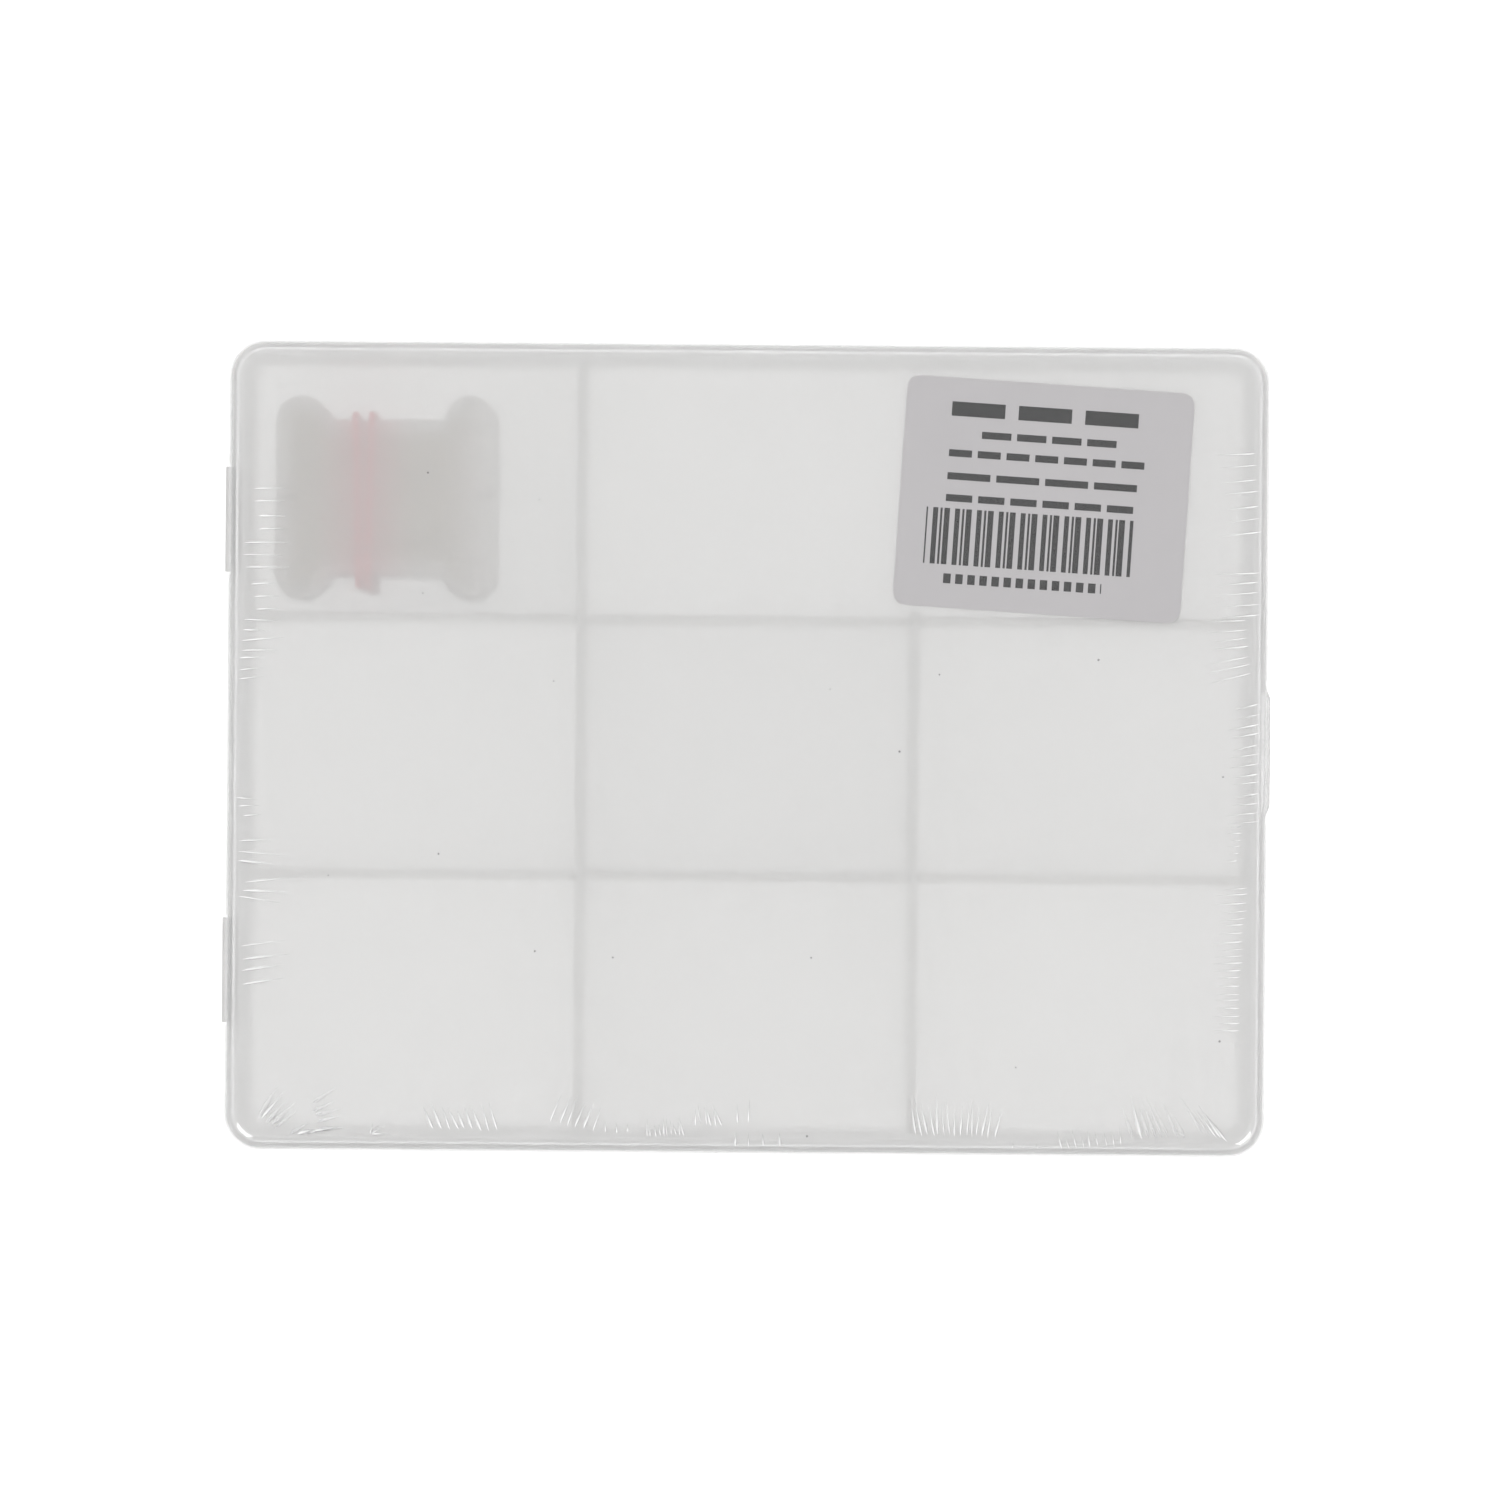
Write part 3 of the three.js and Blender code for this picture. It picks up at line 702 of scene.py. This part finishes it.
def cardFinish():
    material, graph = newFinish("grey_pasteboard")
    place = graph.objectPlace()
    stretched = graph.node("ShaderNodeMapping", {}, {"Vector": place, "Scale": card["fibreStretch"]})
    fibre = graph.noise(stretched, card["fibreScale"], card["fibreDetail"])
    # a number from 0 to 1 for each card
    number = graph.attribute("cardNumber")
    draw = graph.call("FRACT", graph.call("SINE", number * card["shuffle"][0]) * card["shuffle"][1])
    x, y = graph.split(place)[:2]
    # painted light: the board is painted lighter towards the stack's right end, in place of light spread
    # there through the frosted lid
    paintedLitEnd = graph.ramp(x, card["paintedLitEndFrom"] * mm, card["paintedLitEndTo"] * mm)
    board = graph.blend(paintedLitEnd, opaque(card["shade"]), opaque(card["paintedLitEndShade"]))
    # painted light: the board is painted paler along its outline, in place of the light the frosted lid
    # spreads over the stack's edges
    aside = abs(x - card["stackX"] * mm)
    across = abs(y - card["stackY"] * mm)
    ear = (aside - (card["length"] - card["earLength"]) / 2 * mm) / (card["earLength"] / 2 * mm)
    bulge = graph.call("SQRT", graph.larger(1.0 - ear * ear, 0.0)) * (card["earHeight"] * mm)
    inward = graph.smaller(card["length"] / 2 * mm - aside, card["waist"] / 2 * mm + bulge - across)
    wearAndPaintedLight = graph.ramp(inward, card["paleDepth"] * mm, 0.0)
    board = graph.blend(wearAndPaintedLight * card["paleShare"], board, opaque(card["pale"]))
    # painted light: the red band's glow is painted as a pink tint on the board beside it
    away = abs(x - (card["stackX"] - card["bandOffset"]) * mm)
    paintedRedGlow = graph.ramp(away, card["paintedRedGlowFar"] * mm, card["paintedRedGlowNear"] * mm)
    board = graph.blend(paintedRedGlow * card["paintedRedGlowShare"], board, opaque(card["paintedRedGlow"]))
    darker = (draw * card["fadeByCard"] + fibre * card["fadeByFibre"]) * card["fade"]
    endMatte(graph, card, graph.blend(darker, board, grey(0.0)), fibre, card["fibreHeight"])
    return material


def cardQuarter(signX, signY):
    half = card["length"] / 2
    points = [(half - card["slitDepth"], card["slitWidth"] / 2), (half, card["slitWidth"] / 2)]
    for step in range(2 * card["earSteps"] + 1):
        angle = math.pi * step / (2 * card["earSteps"])
        x = half - card["earLength"] / 2 * (1 - math.cos(angle))
        points.append((x, card["waist"] / 2 + card["earHeight"] * math.sin(angle)))
    placed = [(signX * x, signY * y) for x, y in points]
    return placed if signX == signY else placed[::-1]


def cardMesh():
    quarters = [cardQuarter(1, 1), cardQuarter(-1, 1), cardQuarter(-1, -1), cardQuarter(1, -1)]
    points = [point for quarter in quarters for point in quarter]
    piece = prism("card", points, card["thickness"], lambda u, v, w: (u, v, w))
    form = bmesh.new()
    form.from_mesh(piece.data)
    # the upright edges where the ears meet the waist are rounded
    neck = (card["length"] / 2 - card["earLength"], card["waist"] / 2)
    nearby = card["neckRadius"] / 100
    necks = []
    for edge in form.edges:
        foot, head = [vertex.co / mm for vertex in edge.verts]
        upright = abs(foot.z - head.z) > card["thickness"] / 2
        if upright and math.dist(neck, (abs(foot.x), abs(foot.y))) < nearby:
            necks.append(edge)
    size, steps = card["neckRadius"] * mm, card["neckSteps"]
    bmesh.ops.bevel(form, geom=necks, offset=size, segments=steps, profile=0.5, affect="EDGES")
    form.to_mesh(piece.data)
    form.free()
    mesh = soften(piece, card["edge"], segments=1, angle=50).data
    bpy.data.objects.remove(piece)
    return mesh


def stackTree():
    inputs = {"Int": ["Count"], "Float": ["Pitch", "Stray", "Turn", "Spin"], "Material": ["Finish"]}
    tree, graph, given = newTree("card stack", inputs)
    index = graph.node("GeometryNodeInputIndex")
    spin = index * given["Spin"]
    strayX = graph.call("COSINE", spin) * given["Stray"]
    strayY = graph.call("SINE", spin) * given["Stray"]
    place = graph.combine(strayX, strayY, index * given["Pitch"])
    line = graph.node("GeometryNodeMeshLine", {}, {"Count": given["Count"]})
    line = graph.node("GeometryNodeSetPosition", {}, {"Geometry": line, "Position": place})
    turn = graph.call("SINE", spin * 2.0) * given["Turn"]
    turned = graph.combine(0.0, 0.0, turn)
    cards = graph.node("GeometryNodeInstanceOnPoints", {}, {
        "Points": line, "Instance": given["Geometry"], "Rotation": turned,
    })
    endTree(graph, markCopies(graph, cards, "cardNumber", index * 1.0), given["Finish"])
    return tree


def makeCards():
    finish = cardFinish()
    piece = runTree("floss_cards", stackTree(), cardMesh(), {
        "Count": card["count"],
        "Pitch": (card["thickness"] + card["gap"]) * mm,
        "Stray": card["stray"] * mm,
        "Turn": math.radians(card["turn"]), "Spin": card["spin"], "Finish": finish,
    })
    piece.data.transform(Matrix.Translation(Vector((card["stackX"], card["stackY"], card["bottom"])) * mm))
    names = [f"thread_card_{number:02d}" for number in range(1, card["count"] + 1)]
    dress(piece, finish, "base", names)


makeCards()
print("cards ready")

# Elastic band, wound twice round the stack's waist

band = {
    "thickness": 1.0, "width": 1.1, "gap": 0.3, "cornerGap": 0.2, "turns": 2, "steps": 180, "sides": 14,
    "frontPitch": 1.56, "rearPitch": 3.3, "hook": 2.2, "crossShare": 0.11,
    "colour": (0.82, 0.01, 0.04),
    "wear": (0.88, 0.06, 0.10), "wearShare": 0.5, "wearScale": 700.0, "wearDetail": 3.0,
    "grainScale": 3000.0, "grainHeight": 0.02, "roughness": 0.55, "specular": 0.4,
}


def smoothstep(value, low, high):
    share = min(max((value - low) / (high - low), 0), 1)
    return share * share * (3 - 2 * share)


def bandFrame():
    # straight runs and arcs in (y, z) round the stack, from the middle of its front side upwards
    radius = band["thickness"] / 2
    reach = card["bandOffset"] + (band["rearPitch"] + band["thickness"]) / 2
    waistReach = card["waist"] / 2 + card["stray"] + reach * math.sin(math.radians(card["turn"]))
    rearY = card["stackY"] + waistReach + band["gap"] + radius
    frontY = card["stackY"] - waistReach - band["gap"] - radius - band["frontPitch"] / 2
    bottomZ = card["bottom"] - band["gap"] - radius
    topZ = card["top"] + band["gap"] + radius
    bend = radius + band["gap"] + band["cornerGap"]
    middleZ = (bottomZ + topZ) / 2
    right = math.pi / 2
    return [
        ("run", (frontY, middleZ), (frontY, topZ - bend)),
        ("arc", (frontY + bend, topZ - bend), bend, math.pi, right),
        ("run", (frontY + bend, topZ), (rearY - bend, topZ)),
        ("arc", (rearY - bend, topZ - bend), bend, right, 0),
        ("run", (rearY, topZ - bend), (rearY, bottomZ + bend)),
        ("arc", (rearY - bend, bottomZ + bend), bend, 0, -right),
        ("run", (rearY - bend, bottomZ), (frontY + bend, bottomZ)),
        ("arc", (frontY + bend, bottomZ + bend), bend, -right, -math.pi),
        ("run", (frontY, bottomZ + bend), (frontY, middleZ)),
    ]


def frameLength(part):
    if part[0] == "run":
        return math.dist(part[1], part[2])
    return part[2] * abs(part[4] - part[3])


def framePoint(parts, share):
    # place and direction at a share of the whole way round
    left = share * sum(frameLength(part) for part in parts)
    for part in parts:
        length = frameLength(part)
        if left <= length or part is parts[-1]:
            break
        left -= length
    within = min(left / length, 1)
    if part[0] == "run":
        (y0, z0), (y1, z1) = part[1], part[2]
        place = (y0 + (y1 - y0) * within, z0 + (z1 - z0) * within)
        return place, ((y1 - y0) / length, (z1 - z0) / length)
    (y, z), radius, first, last = part[1:]
    angle = first + (last - first) * within
    place = (y + radius * math.cos(angle), z + radius * math.sin(angle))
    return place, (math.sin(angle), -math.cos(angle))


def bandPoint(parts, turn, share):
    leaving = smoothstep(share, 0, band["crossShare"])
    arriving = smoothstep(share, 1 - band["crossShare"], 1)
    phase = math.pi * (turn + (leaving + arriving) / 2)
    rearness = ((1 - math.cos(2 * math.pi * share)) / 2) ** 2
    spread = (band["frontPitch"] + (band["rearPitch"] - band["frontPitch"]) * rearness) / 2
    hook = band["hook"] * (1 - leaving + arriving)
    (y, z), (alongY, alongZ) = framePoint(parts, share)
    outwards = band["frontPitch"] / 2 * math.cos(phase)
    x = card["stackX"] - card["bandOffset"] + hook + spread * math.sin(phase)
    return Vector((x, y - alongZ * outwards, z + alongY * outwards))


def bandFinish():
    material, graph = newFinish("red_rubber")
    place = graph.objectPlace()
    wearAndPaintedLight = graph.noise(place, band["wearScale"], band["wearDetail"]) * band["wearShare"]
    grain = graph.noise(place, band["grainScale"])
    colour = graph.blend(wearAndPaintedLight, opaque(band["colour"]), opaque(band["wear"]))
    endMatte(graph, band, colour, grain, band["grainHeight"])
    return material


def makeBand():
    parts = bandFrame()
    count = band["steps"]
    path = [bandPoint(parts, turn, step / count) for turn in range(band["turns"]) for step in range(count)]
    rings = []
    for i, point in enumerate(path):
        along = (path[(i + 1) % len(path)] - path[i - 1]).normalized()
        side = (Vector((1, 0, 0)) - along * along.x).normalized()
        up = along.cross(side)
        section = []
        for corner in range(band["sides"]):
            angle = 2 * math.pi * corner / band["sides"]
            across = side * (band["width"] / 2 * math.cos(angle))
            section.append(point + across + up * (band["thickness"] / 2 * math.sin(angle)))
        rings.append(section)
    finish = bandFinish()
    dress(loft("rubber_band", rings, True), finish, "base", ["elastic_band"], sharp=80)


makeBand()
print("band ready")

# Paper label, with plain ruled lines and an even block of bars

label = {
    "length": 50, "width": 40, "radius": 2.3, "radiusSteps": 10, "thickness": 0.1,
    "fromTabSide": 13.8, "fromRear": 6.3, "turn": -3.55,
    "paper": (0.515, 0.50, 0.51), "paperMottle": 0.03, "paperScale": 60.0,
    "ink": (0.004, 0.004, 0.005), "inkLeast": 0.95, "inkScale": 900.0, "inkDetail": 3.0,
    "grainScale": 1800.0, "grainDetail": 3.0, "grainHeight": 0.008, "roughness": 0.55, "specular": 0.12,
    # height of a row's middle, half its height, its two ends, word length, share of ink in a word
    "rows": [
        (14.6, 1.25, -17.0, 17.5, 11.6, 0.80),
        (10.3, 0.62, -11.5, 12.5, 6.1, 0.84),
        (6.9, 0.62, -17.0, 17.5, 5.0, 0.80),
        (2.9, 0.62, -17.0, 17.0, 8.5, 0.88),
        (-0.9, 0.62, -17.0, 16.5, 5.6, 0.82),
        (-14.9, 0.85, -16.5, 11.0, 2.1, 0.62),
    ],
    # middle and half width of the block both ways, then the pitch of two sets of bars and their share of ink
    "bars": {"acrossX": (-2.2, 18.0), "acrossY": (-7.6, 4.9), "periods": [(1.9, 0.44), (1.27, 0.30)]},
}
label["centre"] = (
    outline["length"] / 2 - label["fromTabSide"] - label["length"] / 2,
    outline["width"] / 2 - label["fromRear"] - label["width"] / 2,
)


def labelFinish():
    material, graph = newFinish("coated_label_paper")
    place = graph.objectPlace()
    turned = graph.node("ShaderNodeMapping", {"vector_type": "TEXTURE"}, {
        "Vector": place,
        "Location": Vector((*label["centre"], 0)) * mm,
        "Rotation": (0.0, 0.0, math.radians(label["turn"])),
    })
    x, y = [part * (1 / mm) for part in graph.split(turned)[:2]]
    ink = None
    for middle, half, start, end, word, share in label["rows"]:
        row = graph.inside(y, middle, half) * graph.inside(x, (start + end) / 2, (end - start) / 2)
        row = row * (graph.call("FRACT", (x - start) / word) < share)
        ink = row if ink is None else graph.larger(ink, row)
    bars = label["bars"]
    inBlock = graph.inside(x, *bars["acrossX"]) * graph.inside(y, *bars["acrossY"])
    first, second = [graph.call("FRACT", x / period) < share for period, share in bars["periods"]]
    ink = graph.larger(ink, inBlock * graph.larger(first, second))
    patchy = graph.noise(place, label["inkScale"], label["inkDetail"])
    cover = ink * (label["inkLeast"] + patchy * (1 - label["inkLeast"]))
    shades = [1 + way * label["paperMottle"] for way in (-1, 1)]
    dim, pale = [opaque([part * shade for part in label["paper"]]) for shade in shades]
    paper = graph.blend(graph.noise(place, label["paperScale"]), dim, pale)
    grain = graph.noise(place, label["grainScale"], label["grainDetail"])
    endMatte(graph, label, graph.blend(cover, paper, opaque(label["ink"])), grain, label["grainHeight"])
    return material


def makeLabel():
    points = roundedCorners(label["length"], label["width"], label["radius"], label["radiusSteps"])
    piece = prism("paper_label", points, label["thickness"], lambda u, v, w: (u, v, outline["height"] + w))
    piece.data.transform(Matrix.Rotation(math.radians(label["turn"]), 4, "Z"))
    piece.data.transform(Matrix.Translation(Vector((*label["centre"], 0)) * mm))
    dress(piece, labelFinish(), "lid", ["label"])


makeLabel()
print("label ready")

# Shrink film and its creases

film = {
    "gap": 0.18, "thickness": 0.17, "slitGap": 0.2, "footAngle": 48, "footSteps": 6,
    "windowGap": 0.5, "windowReach": 1.4, "waveScale": 26.0, "waveHeight": 0.10,
    "reflects": 0.035, "grazing": 5.0, "mirror": 0.95, "roughness": 0.05, "haze": 0.01,
}
film["outside"] = film["gap"] + film["thickness"]


def filmFinish():
    material, graph = newFinish("clear_shrink_film")
    place = graph.objectPlace()
    wave = graph.noise(place, film["waveScale"])
    facing = graph.node("ShaderNodeLayerWeight", output="Facing")
    shine = film["reflects"] + facing ** film["grazing"] * (1 - film["reflects"])
    endFinish(graph, {
        "Base Color": grey(film["mirror"]),
        "Metallic": 1.0,
        "Roughness": film["roughness"],
        "Alpha": shine + film["haze"],
        "Normal": graph.bump(wave, film["waveHeight"] * mm),
    })
    return material


def cutWindows(piece, windows):
    gap, reach = film["windowGap"], film["windowReach"]
    for side, middleY, length, low, high in windows:
        x = side * outline["length"] / 2
        half = length / 2 + gap
        corners = [(x - reach, -half), (x + reach, -half), (x + reach, half), (x - reach, half)]
        depth = high - low + 2 * gap
        tool = prism("window", corners, depth, lambda u, v, w: (u, middleY + v, low - gap + w))
        carve(piece, tool, "DIFFERENCE")


def strapWindows():
    high = outline["parting"] + strap["lidReach"]
    return [(-1, side * strap["middle"], strap["length"], tray["ledgeBottom"], high) for side in (-1, 1)]


def makeLidFilm(finish):
    near, far = film["gap"], film["outside"]
    top = outline["height"]
    bottom = outline["parting"] + film["slitGap"]
    corners = [
        (lid["capInset"], top + near, 0),
        (-near, top + near, lid["edgeRadius"] + near),
        (-near, bottom, 0),
        (-far, bottom, 0),
        (-far, top + far, lid["edgeRadius"] + far),
        (lid["capInset"], top + far, 0),
    ]
    piece = loftProfile("film_over_lid", roundedProfile(corners))
    thumb = (1, 0, tab["baseLength"], outline["parting"], outline["parting"] + tab["depth"])
    cutWindows(piece, [*strapWindows(), thumb])
    dress(piece, finish, "lid", ["lid_film"])


def makeTrayFilm(finish):
    near, far = film["gap"], film["outside"]
    top = tray["ledgeTop"] - film["slitGap"]
    path = []
    for distance, way in ((far, 1), (near, -1)):
        side = []
        for step in range(film["footSteps"] + 1):
            angle = math.radians(film["footAngle"]) * (1 - step / film["footSteps"])
            inset = tray["inset"] + tray["footRadius"] - (tray["footRadius"] + distance) * math.cos(angle)
            side.append((inset, tray["footRadius"] - (tray["footRadius"] + distance) * math.sin(angle)))
        side += [(-distance, tray["ledgeBottom"]), (-distance, top)]
        path += side[::way]
    piece = loftProfile("film_round_tray", path, True)
    cutWindows(piece, strapWindows())
    dress(piece, finish, "base", ["base_film"])


clearFilm = filmFinish()
makeLidFilm(clearFilm)
makeTrayFilm(clearFilm)
print("film ready")

crease = {
    "stations": [0.0, 0.06, 0.16, 0.30, 0.45, 0.60, 0.75, 0.88, 1.0],
    "thickest": 0.25, "height": 0.09, "keel": 1 / 3, "jitter": 0.22, "strength": (0.6, 1.15), "lowest": 0.95,
    # white and dull: the painted highlight and painted shade of the creases, standing in for the film's
    # reflections
    "white": 0.97, "dull": 0.50, "fade": 0.75, "roughness": 0.25,
    "litFrom": -0.7, "litCover": (0.34, 1.0), "shadedCover": (0.20, 0.05),
    "streakShade": 0.85, "streakShare": 0.2, "streakScale": 1200.0,
    # places of the outer ends, count, lengths, widest, headings at both ends of the row, spread and seed,
    # then the share of dull creases (painted as reflecting shade) where it isn't 0 and the share kept where
    # it isn't 1
    "rows": [
        ((-86.1, 44.4), (-84.9, 37.3), 4, (5, 6.5), 0.62, (1, 0), 2, 3),
        ((-87.5, 35), (-87.5, 30.7), 3, (7, 8), 0.66, (0, -1), 2, 8),
        ((-86.3, 27.9), (-85.2, 23.4), 3, (4.2, 5.2), 0.6, (4, 2), 2, 15),
        ((-87.5, 21.6), (-88.3, 11.4), 7, (4, 8), 0.6, (0, 3), 4, 5),
        ((-88.8, -6.8), (-88.6, -7), 2, (1.6, 2.4), 0.5, (-3, 2), 2, 26, 1.0, 0.5),
        ((-88.7, -9.4), (-87.4, -12.4), 3, (3, 5), 0.6, (-3, 6), 3, 12),
        ((-88.2, -16.9), (-88, -20.2), 3, (5, 9), 0.8, (2, -8), 3, 38),
        ((-86.9, -23.8), (-88, -26.5), 3, (6.5, 9.5), 0.8, (5, -8), 3, 41),
        ((-87.4, -35), (-87.3, -41.6), 4, (7, 8.6), 0.72, (7, 8), 3, 58),
        ((87.8, 52), (88.8, 38.4), 7, (5, 7.5), 0.6, (184, 187), 2, 21),
        ((88.7, 31.3), (88.5, 24), 5, (6, 8), 0.6, (184, 186), 2, 33),
        ((86.4, 22.8), (87.4, 13.8), 7, (6, 8), 0.6, (183, 193), 2, 47),
        ((88.7, 8.4), (88.7, -12.1), 13, (3.8, 5.6), 0.58, (195, 185), 2, 4),
        ((86.2, -12.8), (85.2, -18.6), 6, (1.6, 3), 0.45, (184, 180), 8, 17, 0.2),
        ((87, -23.4), (86.1, -36.6), 11, (3.8, 6), 0.58, (186, 184), 2, 31),
        ((86, -37.8), (85.6, -48.5), 9, (3.8, 5.2), 0.72, (184, 180), 2, 69),
        ((-84.4, -64.4), (-81.4, -66.6), 5, (5, 7), 1.3, (56, 42), 4, 44, 0.6),
        ((-79, -67.4), (-75, -67.2), 4, (3, 4.5), 1.1, (30, 12), 8, 52, 0.5),
        ((-75.2, -62.4), (-73.8, -66.4), 5, (4, 5.5), 1.25, (32, 4), 4, 63, 0.6),
        ((-64.8, -67.4), (-64.4, -67.3), 4, (1.8, 3.2), 0.8, (75, 8), 6, 71, 0.3),
        ((-53.8, -66.4), (-43, -66.6), 9, (3.6, 5.6), 0.9, (116, 108), 5, 80),
        ((-33.6, -65), (-26.2, -66.6), 6, (4.2, 6), 0.85, (66, 72), 4, 93),
        ((-23.8, -66.8), (-20.2, -66.8), 3, (1.2, 2), 0.6, (92, 88), 6, 102),
        ((-16.8, -67.3), (-10.4, -67.3), 10, (2, 3.4), 0.66, (94, 104), 8, 111, 0.1),
        ((-8.4, -65.4), (-4, -65.6), 6, (2.8, 3.8), 0.75, (98, 106), 10, 124, 0.1),
        ((-0.9, -65), (0.7, -65), 2, (3, 4), 0.7, (90, 88), 4, 135),
        ((-1.6, -69), (6.2, -68.9), 4, (1.6, 2.4), 0.9, (90, 92), 5, 146),
        ((30, -66.9), (43.4, -67), 15, (4, 7), 0.75, (104, 78), 5, 157, 0.05),
        ((46.6, -68.9), (50.8, -69.1), 3, (0.6, 1.1), 0.6, (80, 100), 20, 168),
        ((55, -68.9), (65.6, -68.4), 9, (2, 3.4), 0.7, (108, 98), 5, 179),
        ((67.6, -67.2), (76.4, -67), 8, (5, 8), 1.3, (106, 118), 4, 190, 0.9),
        ((79.6, -66.2), (84, -67.4), 5, (5.5, 8), 1.1, (120, 130), 3, 201, 0.7),
    ],
}


def creaseMesh():
    # a closed low ridge of unit length, width and height, widest near its outer end
    stations = crease["stations"]
    points = [(0, 0, 0)]
    sides = [0]
    for along in stations[1:-1]:
        rising = min(along / crease["thickest"], 1)
        falling = min((1 - along) / (1 - crease["thickest"]), 1)
        share = math.sin(rising * math.pi / 2) * falling
        points += [(along, -share / 2, 0), (along, 0, share), (along, share / 2, 0)]
        points.append((along, 0, -share * crease["keel"]))
        sides += [-1, 0, 1, 0]
    points.append((1, 0, 0))
    sides.append(0)
    faces = []
    last = len(points) - 5
    for i in range(4):
        j = (i + 1) % 4
        faces.append((0, 1 + j, 1 + i))
        faces += [(here + i, here + j, here + 4 + j, here + 4 + i) for here in range(1, last, 4)]
        faces.append((last + i, last + j, len(points) - 1))
    mesh = bpy.data.meshes.new("crease")
    mesh.from_pydata(points, [], faces)
    for name, values in (("creaseAlong", [point[0] for point in points]), ("creaseSide", sides)):
        mesh.attributes.new(name, "FLOAT", "POINT").data.foreach_set("value", values)
    return mesh


def creaseTree():
    sizes = ["Shortest", "Longest", "Width", "Height"]
    angles = ["First Heading", "Last Heading", "Spread"]
    tree, graph, given = newTree("film creases", {
        "Vector": ["Start", "End"],
        "Int": ["Count", "Seed"],
        "Float": [*sizes, *angles, "Kept", "Dull"],
        "Material": ["Finish"],
    })

    def draw(low, high, more):
        values = {"Min": low, "Max": high, "Seed": given["Seed"] + float(more)}
        return graph.node("FunctionNodeRandomValue", {"data_type": "FLOAT"}, values)

    line = graph.node("GeometryNodeMeshLine", {"mode": "END_POINTS"}, {
        "Count": given["Count"], "Start Location": given["Start"], "Offset": given["End"],
    })
    reach = crease["jitter"] * mm
    jitter = graph.combine(draw(-reach, reach, 1), draw(-reach, reach, 2), 0.0)
    line = graph.node("GeometryNodeSetPosition", {}, {"Geometry": line, "Offset": jitter})
    share = graph.node("GeometryNodeInputIndex") / (given["Count"] - 1.0)
    heading = given["First Heading"] + share * (given["Last Heading"] - given["First Heading"])
    heading = heading + given["Spread"] * draw(-1.0, 1.0, 3)
    length = draw(given["Shortest"], given["Longest"], 4)
    strength = draw(*crease["strength"], 5)
    size = graph.combine(length, given["Width"] * strength, given["Height"] * strength)
    turned = graph.combine(0.0, 0.0, heading)
    placed = graph.node("GeometryNodeInstanceOnPoints", {}, {
        "Points": line, "Instance": given["Geometry"], "Rotation": turned, "Scale": size,
        "Selection": draw(0.0, 1.0, 6) < given["Kept"],
    })
    placed = markCopies(graph, placed, "creaseWhite", draw(0.0, 1.0, 7) > given["Dull"])
    endTree(graph, drape(graph, placed), given["Finish"])
    return tree


def drape(graph, placed):
    # lets what lies on the flat top follow the film down over its rounded edge
    real = graph.node("GeometryNodeRealizeInstances", {}, [placed])
    x, y = graph.split(graph.node("GeometryNodeInputPosition"))[:2]
    cornerX = outline["length"] / 2 - outline["cornerRadius"]
    cornerY = outline["width"] / 2 - outline["cornerRadius"]
    beyondX = graph.larger(abs(x) - cornerX * mm, 0.0)
    beyondY = graph.larger(abs(y) - cornerY * mm, 0.0)
    reach = graph.call("SQRT", beyondX * beyondX + beyondY * beyondY)
    past = graph.larger(reach - (outline["cornerRadius"] - lid["edgeRadius"]) * mm, 0.0)
    radius = (lid["edgeRadius"] + film["outside"]) * mm
    past = graph.smaller(past, radius * crease["lowest"])
    drop = radius - graph.call("SQRT", radius * radius - past * past)
    offset = graph.combine(0.0, 0.0, drop * -1.0)
    return graph.node("GeometryNodeSetPosition", {}, {"Geometry": real, "Offset": offset})


def creaseFinish():
    material, graph = newFinish("film_crease_painted_highlight")
    streak = graph.noise(graph.objectPlace(), crease["streakScale"])
    white, along, side = [graph.attribute(name) for name in ("creaseWhite", "creaseAlong", "creaseSide")]
    # painted light: one flank of a crease is painted as a highlight and the other as shade, and both fade out
    # to their sides
    lit = graph.ramp(side, crease["litFrom"], 0.0)
    covers = [crease["litCover"], crease["shadedCover"]]
    litCover, shadedCover = [low + white * (high - low) for low, high in covers]
    cover = shadedCover + lit * (litCover - shadedCover)
    colour = graph.blend(lit, grey(crease["dull"]), grey(crease["white"]))
    endFinish(graph, {
        "Base Color": graph.blend(streak * crease["streakShare"], colour, grey(crease["streakShade"])),
        "Roughness": crease["roughness"],
        "Alpha": cover * (1 - along * crease["fade"]) * (1 - side * side),
    })
    return material


def joinPieces(name, pieces):
    form = bmesh.new()
    for piece in pieces:
        form.from_mesh(piece.data)
    mesh = bpy.data.meshes.new(name)
    form.to_mesh(mesh)
    form.free()
    for piece in pieces:
        bpy.data.objects.remove(piece)
    return newPiece(name, mesh)


def creaseValues(start, end, count, lengths, width, headings, spread, seed, dull=0.0, kept=1.0):
    height = outline["height"] + film["outside"]
    return {
        "Start": Vector((*start, height)) * mm,
        "End": Vector((*end, height)) * mm,
        "Count": count, "Seed": seed, "Kept": kept, "Dull": dull,
        "Shortest": lengths[0] * mm, "Longest": lengths[1] * mm,
        "Width": width * mm, "Height": crease["height"] * mm,
        "First Heading": math.radians(headings[0]), "Last Heading": math.radians(headings[1]),
        "Spread": math.radians(spread),
    }


def makeCreases():
    finish = creaseFinish()
    tree = creaseTree()
    unit = creaseMesh()
    rows = []
    for row in crease["rows"]:
        values = {**creaseValues(*row), "Finish": finish}
        rows.append(runTree(f"crease_row_{values['Seed']}", tree, unit.copy(), values))
    dress(joinPieces("film_creases", rows), finish, "lid", [])


makeCreases()
print("creases ready")
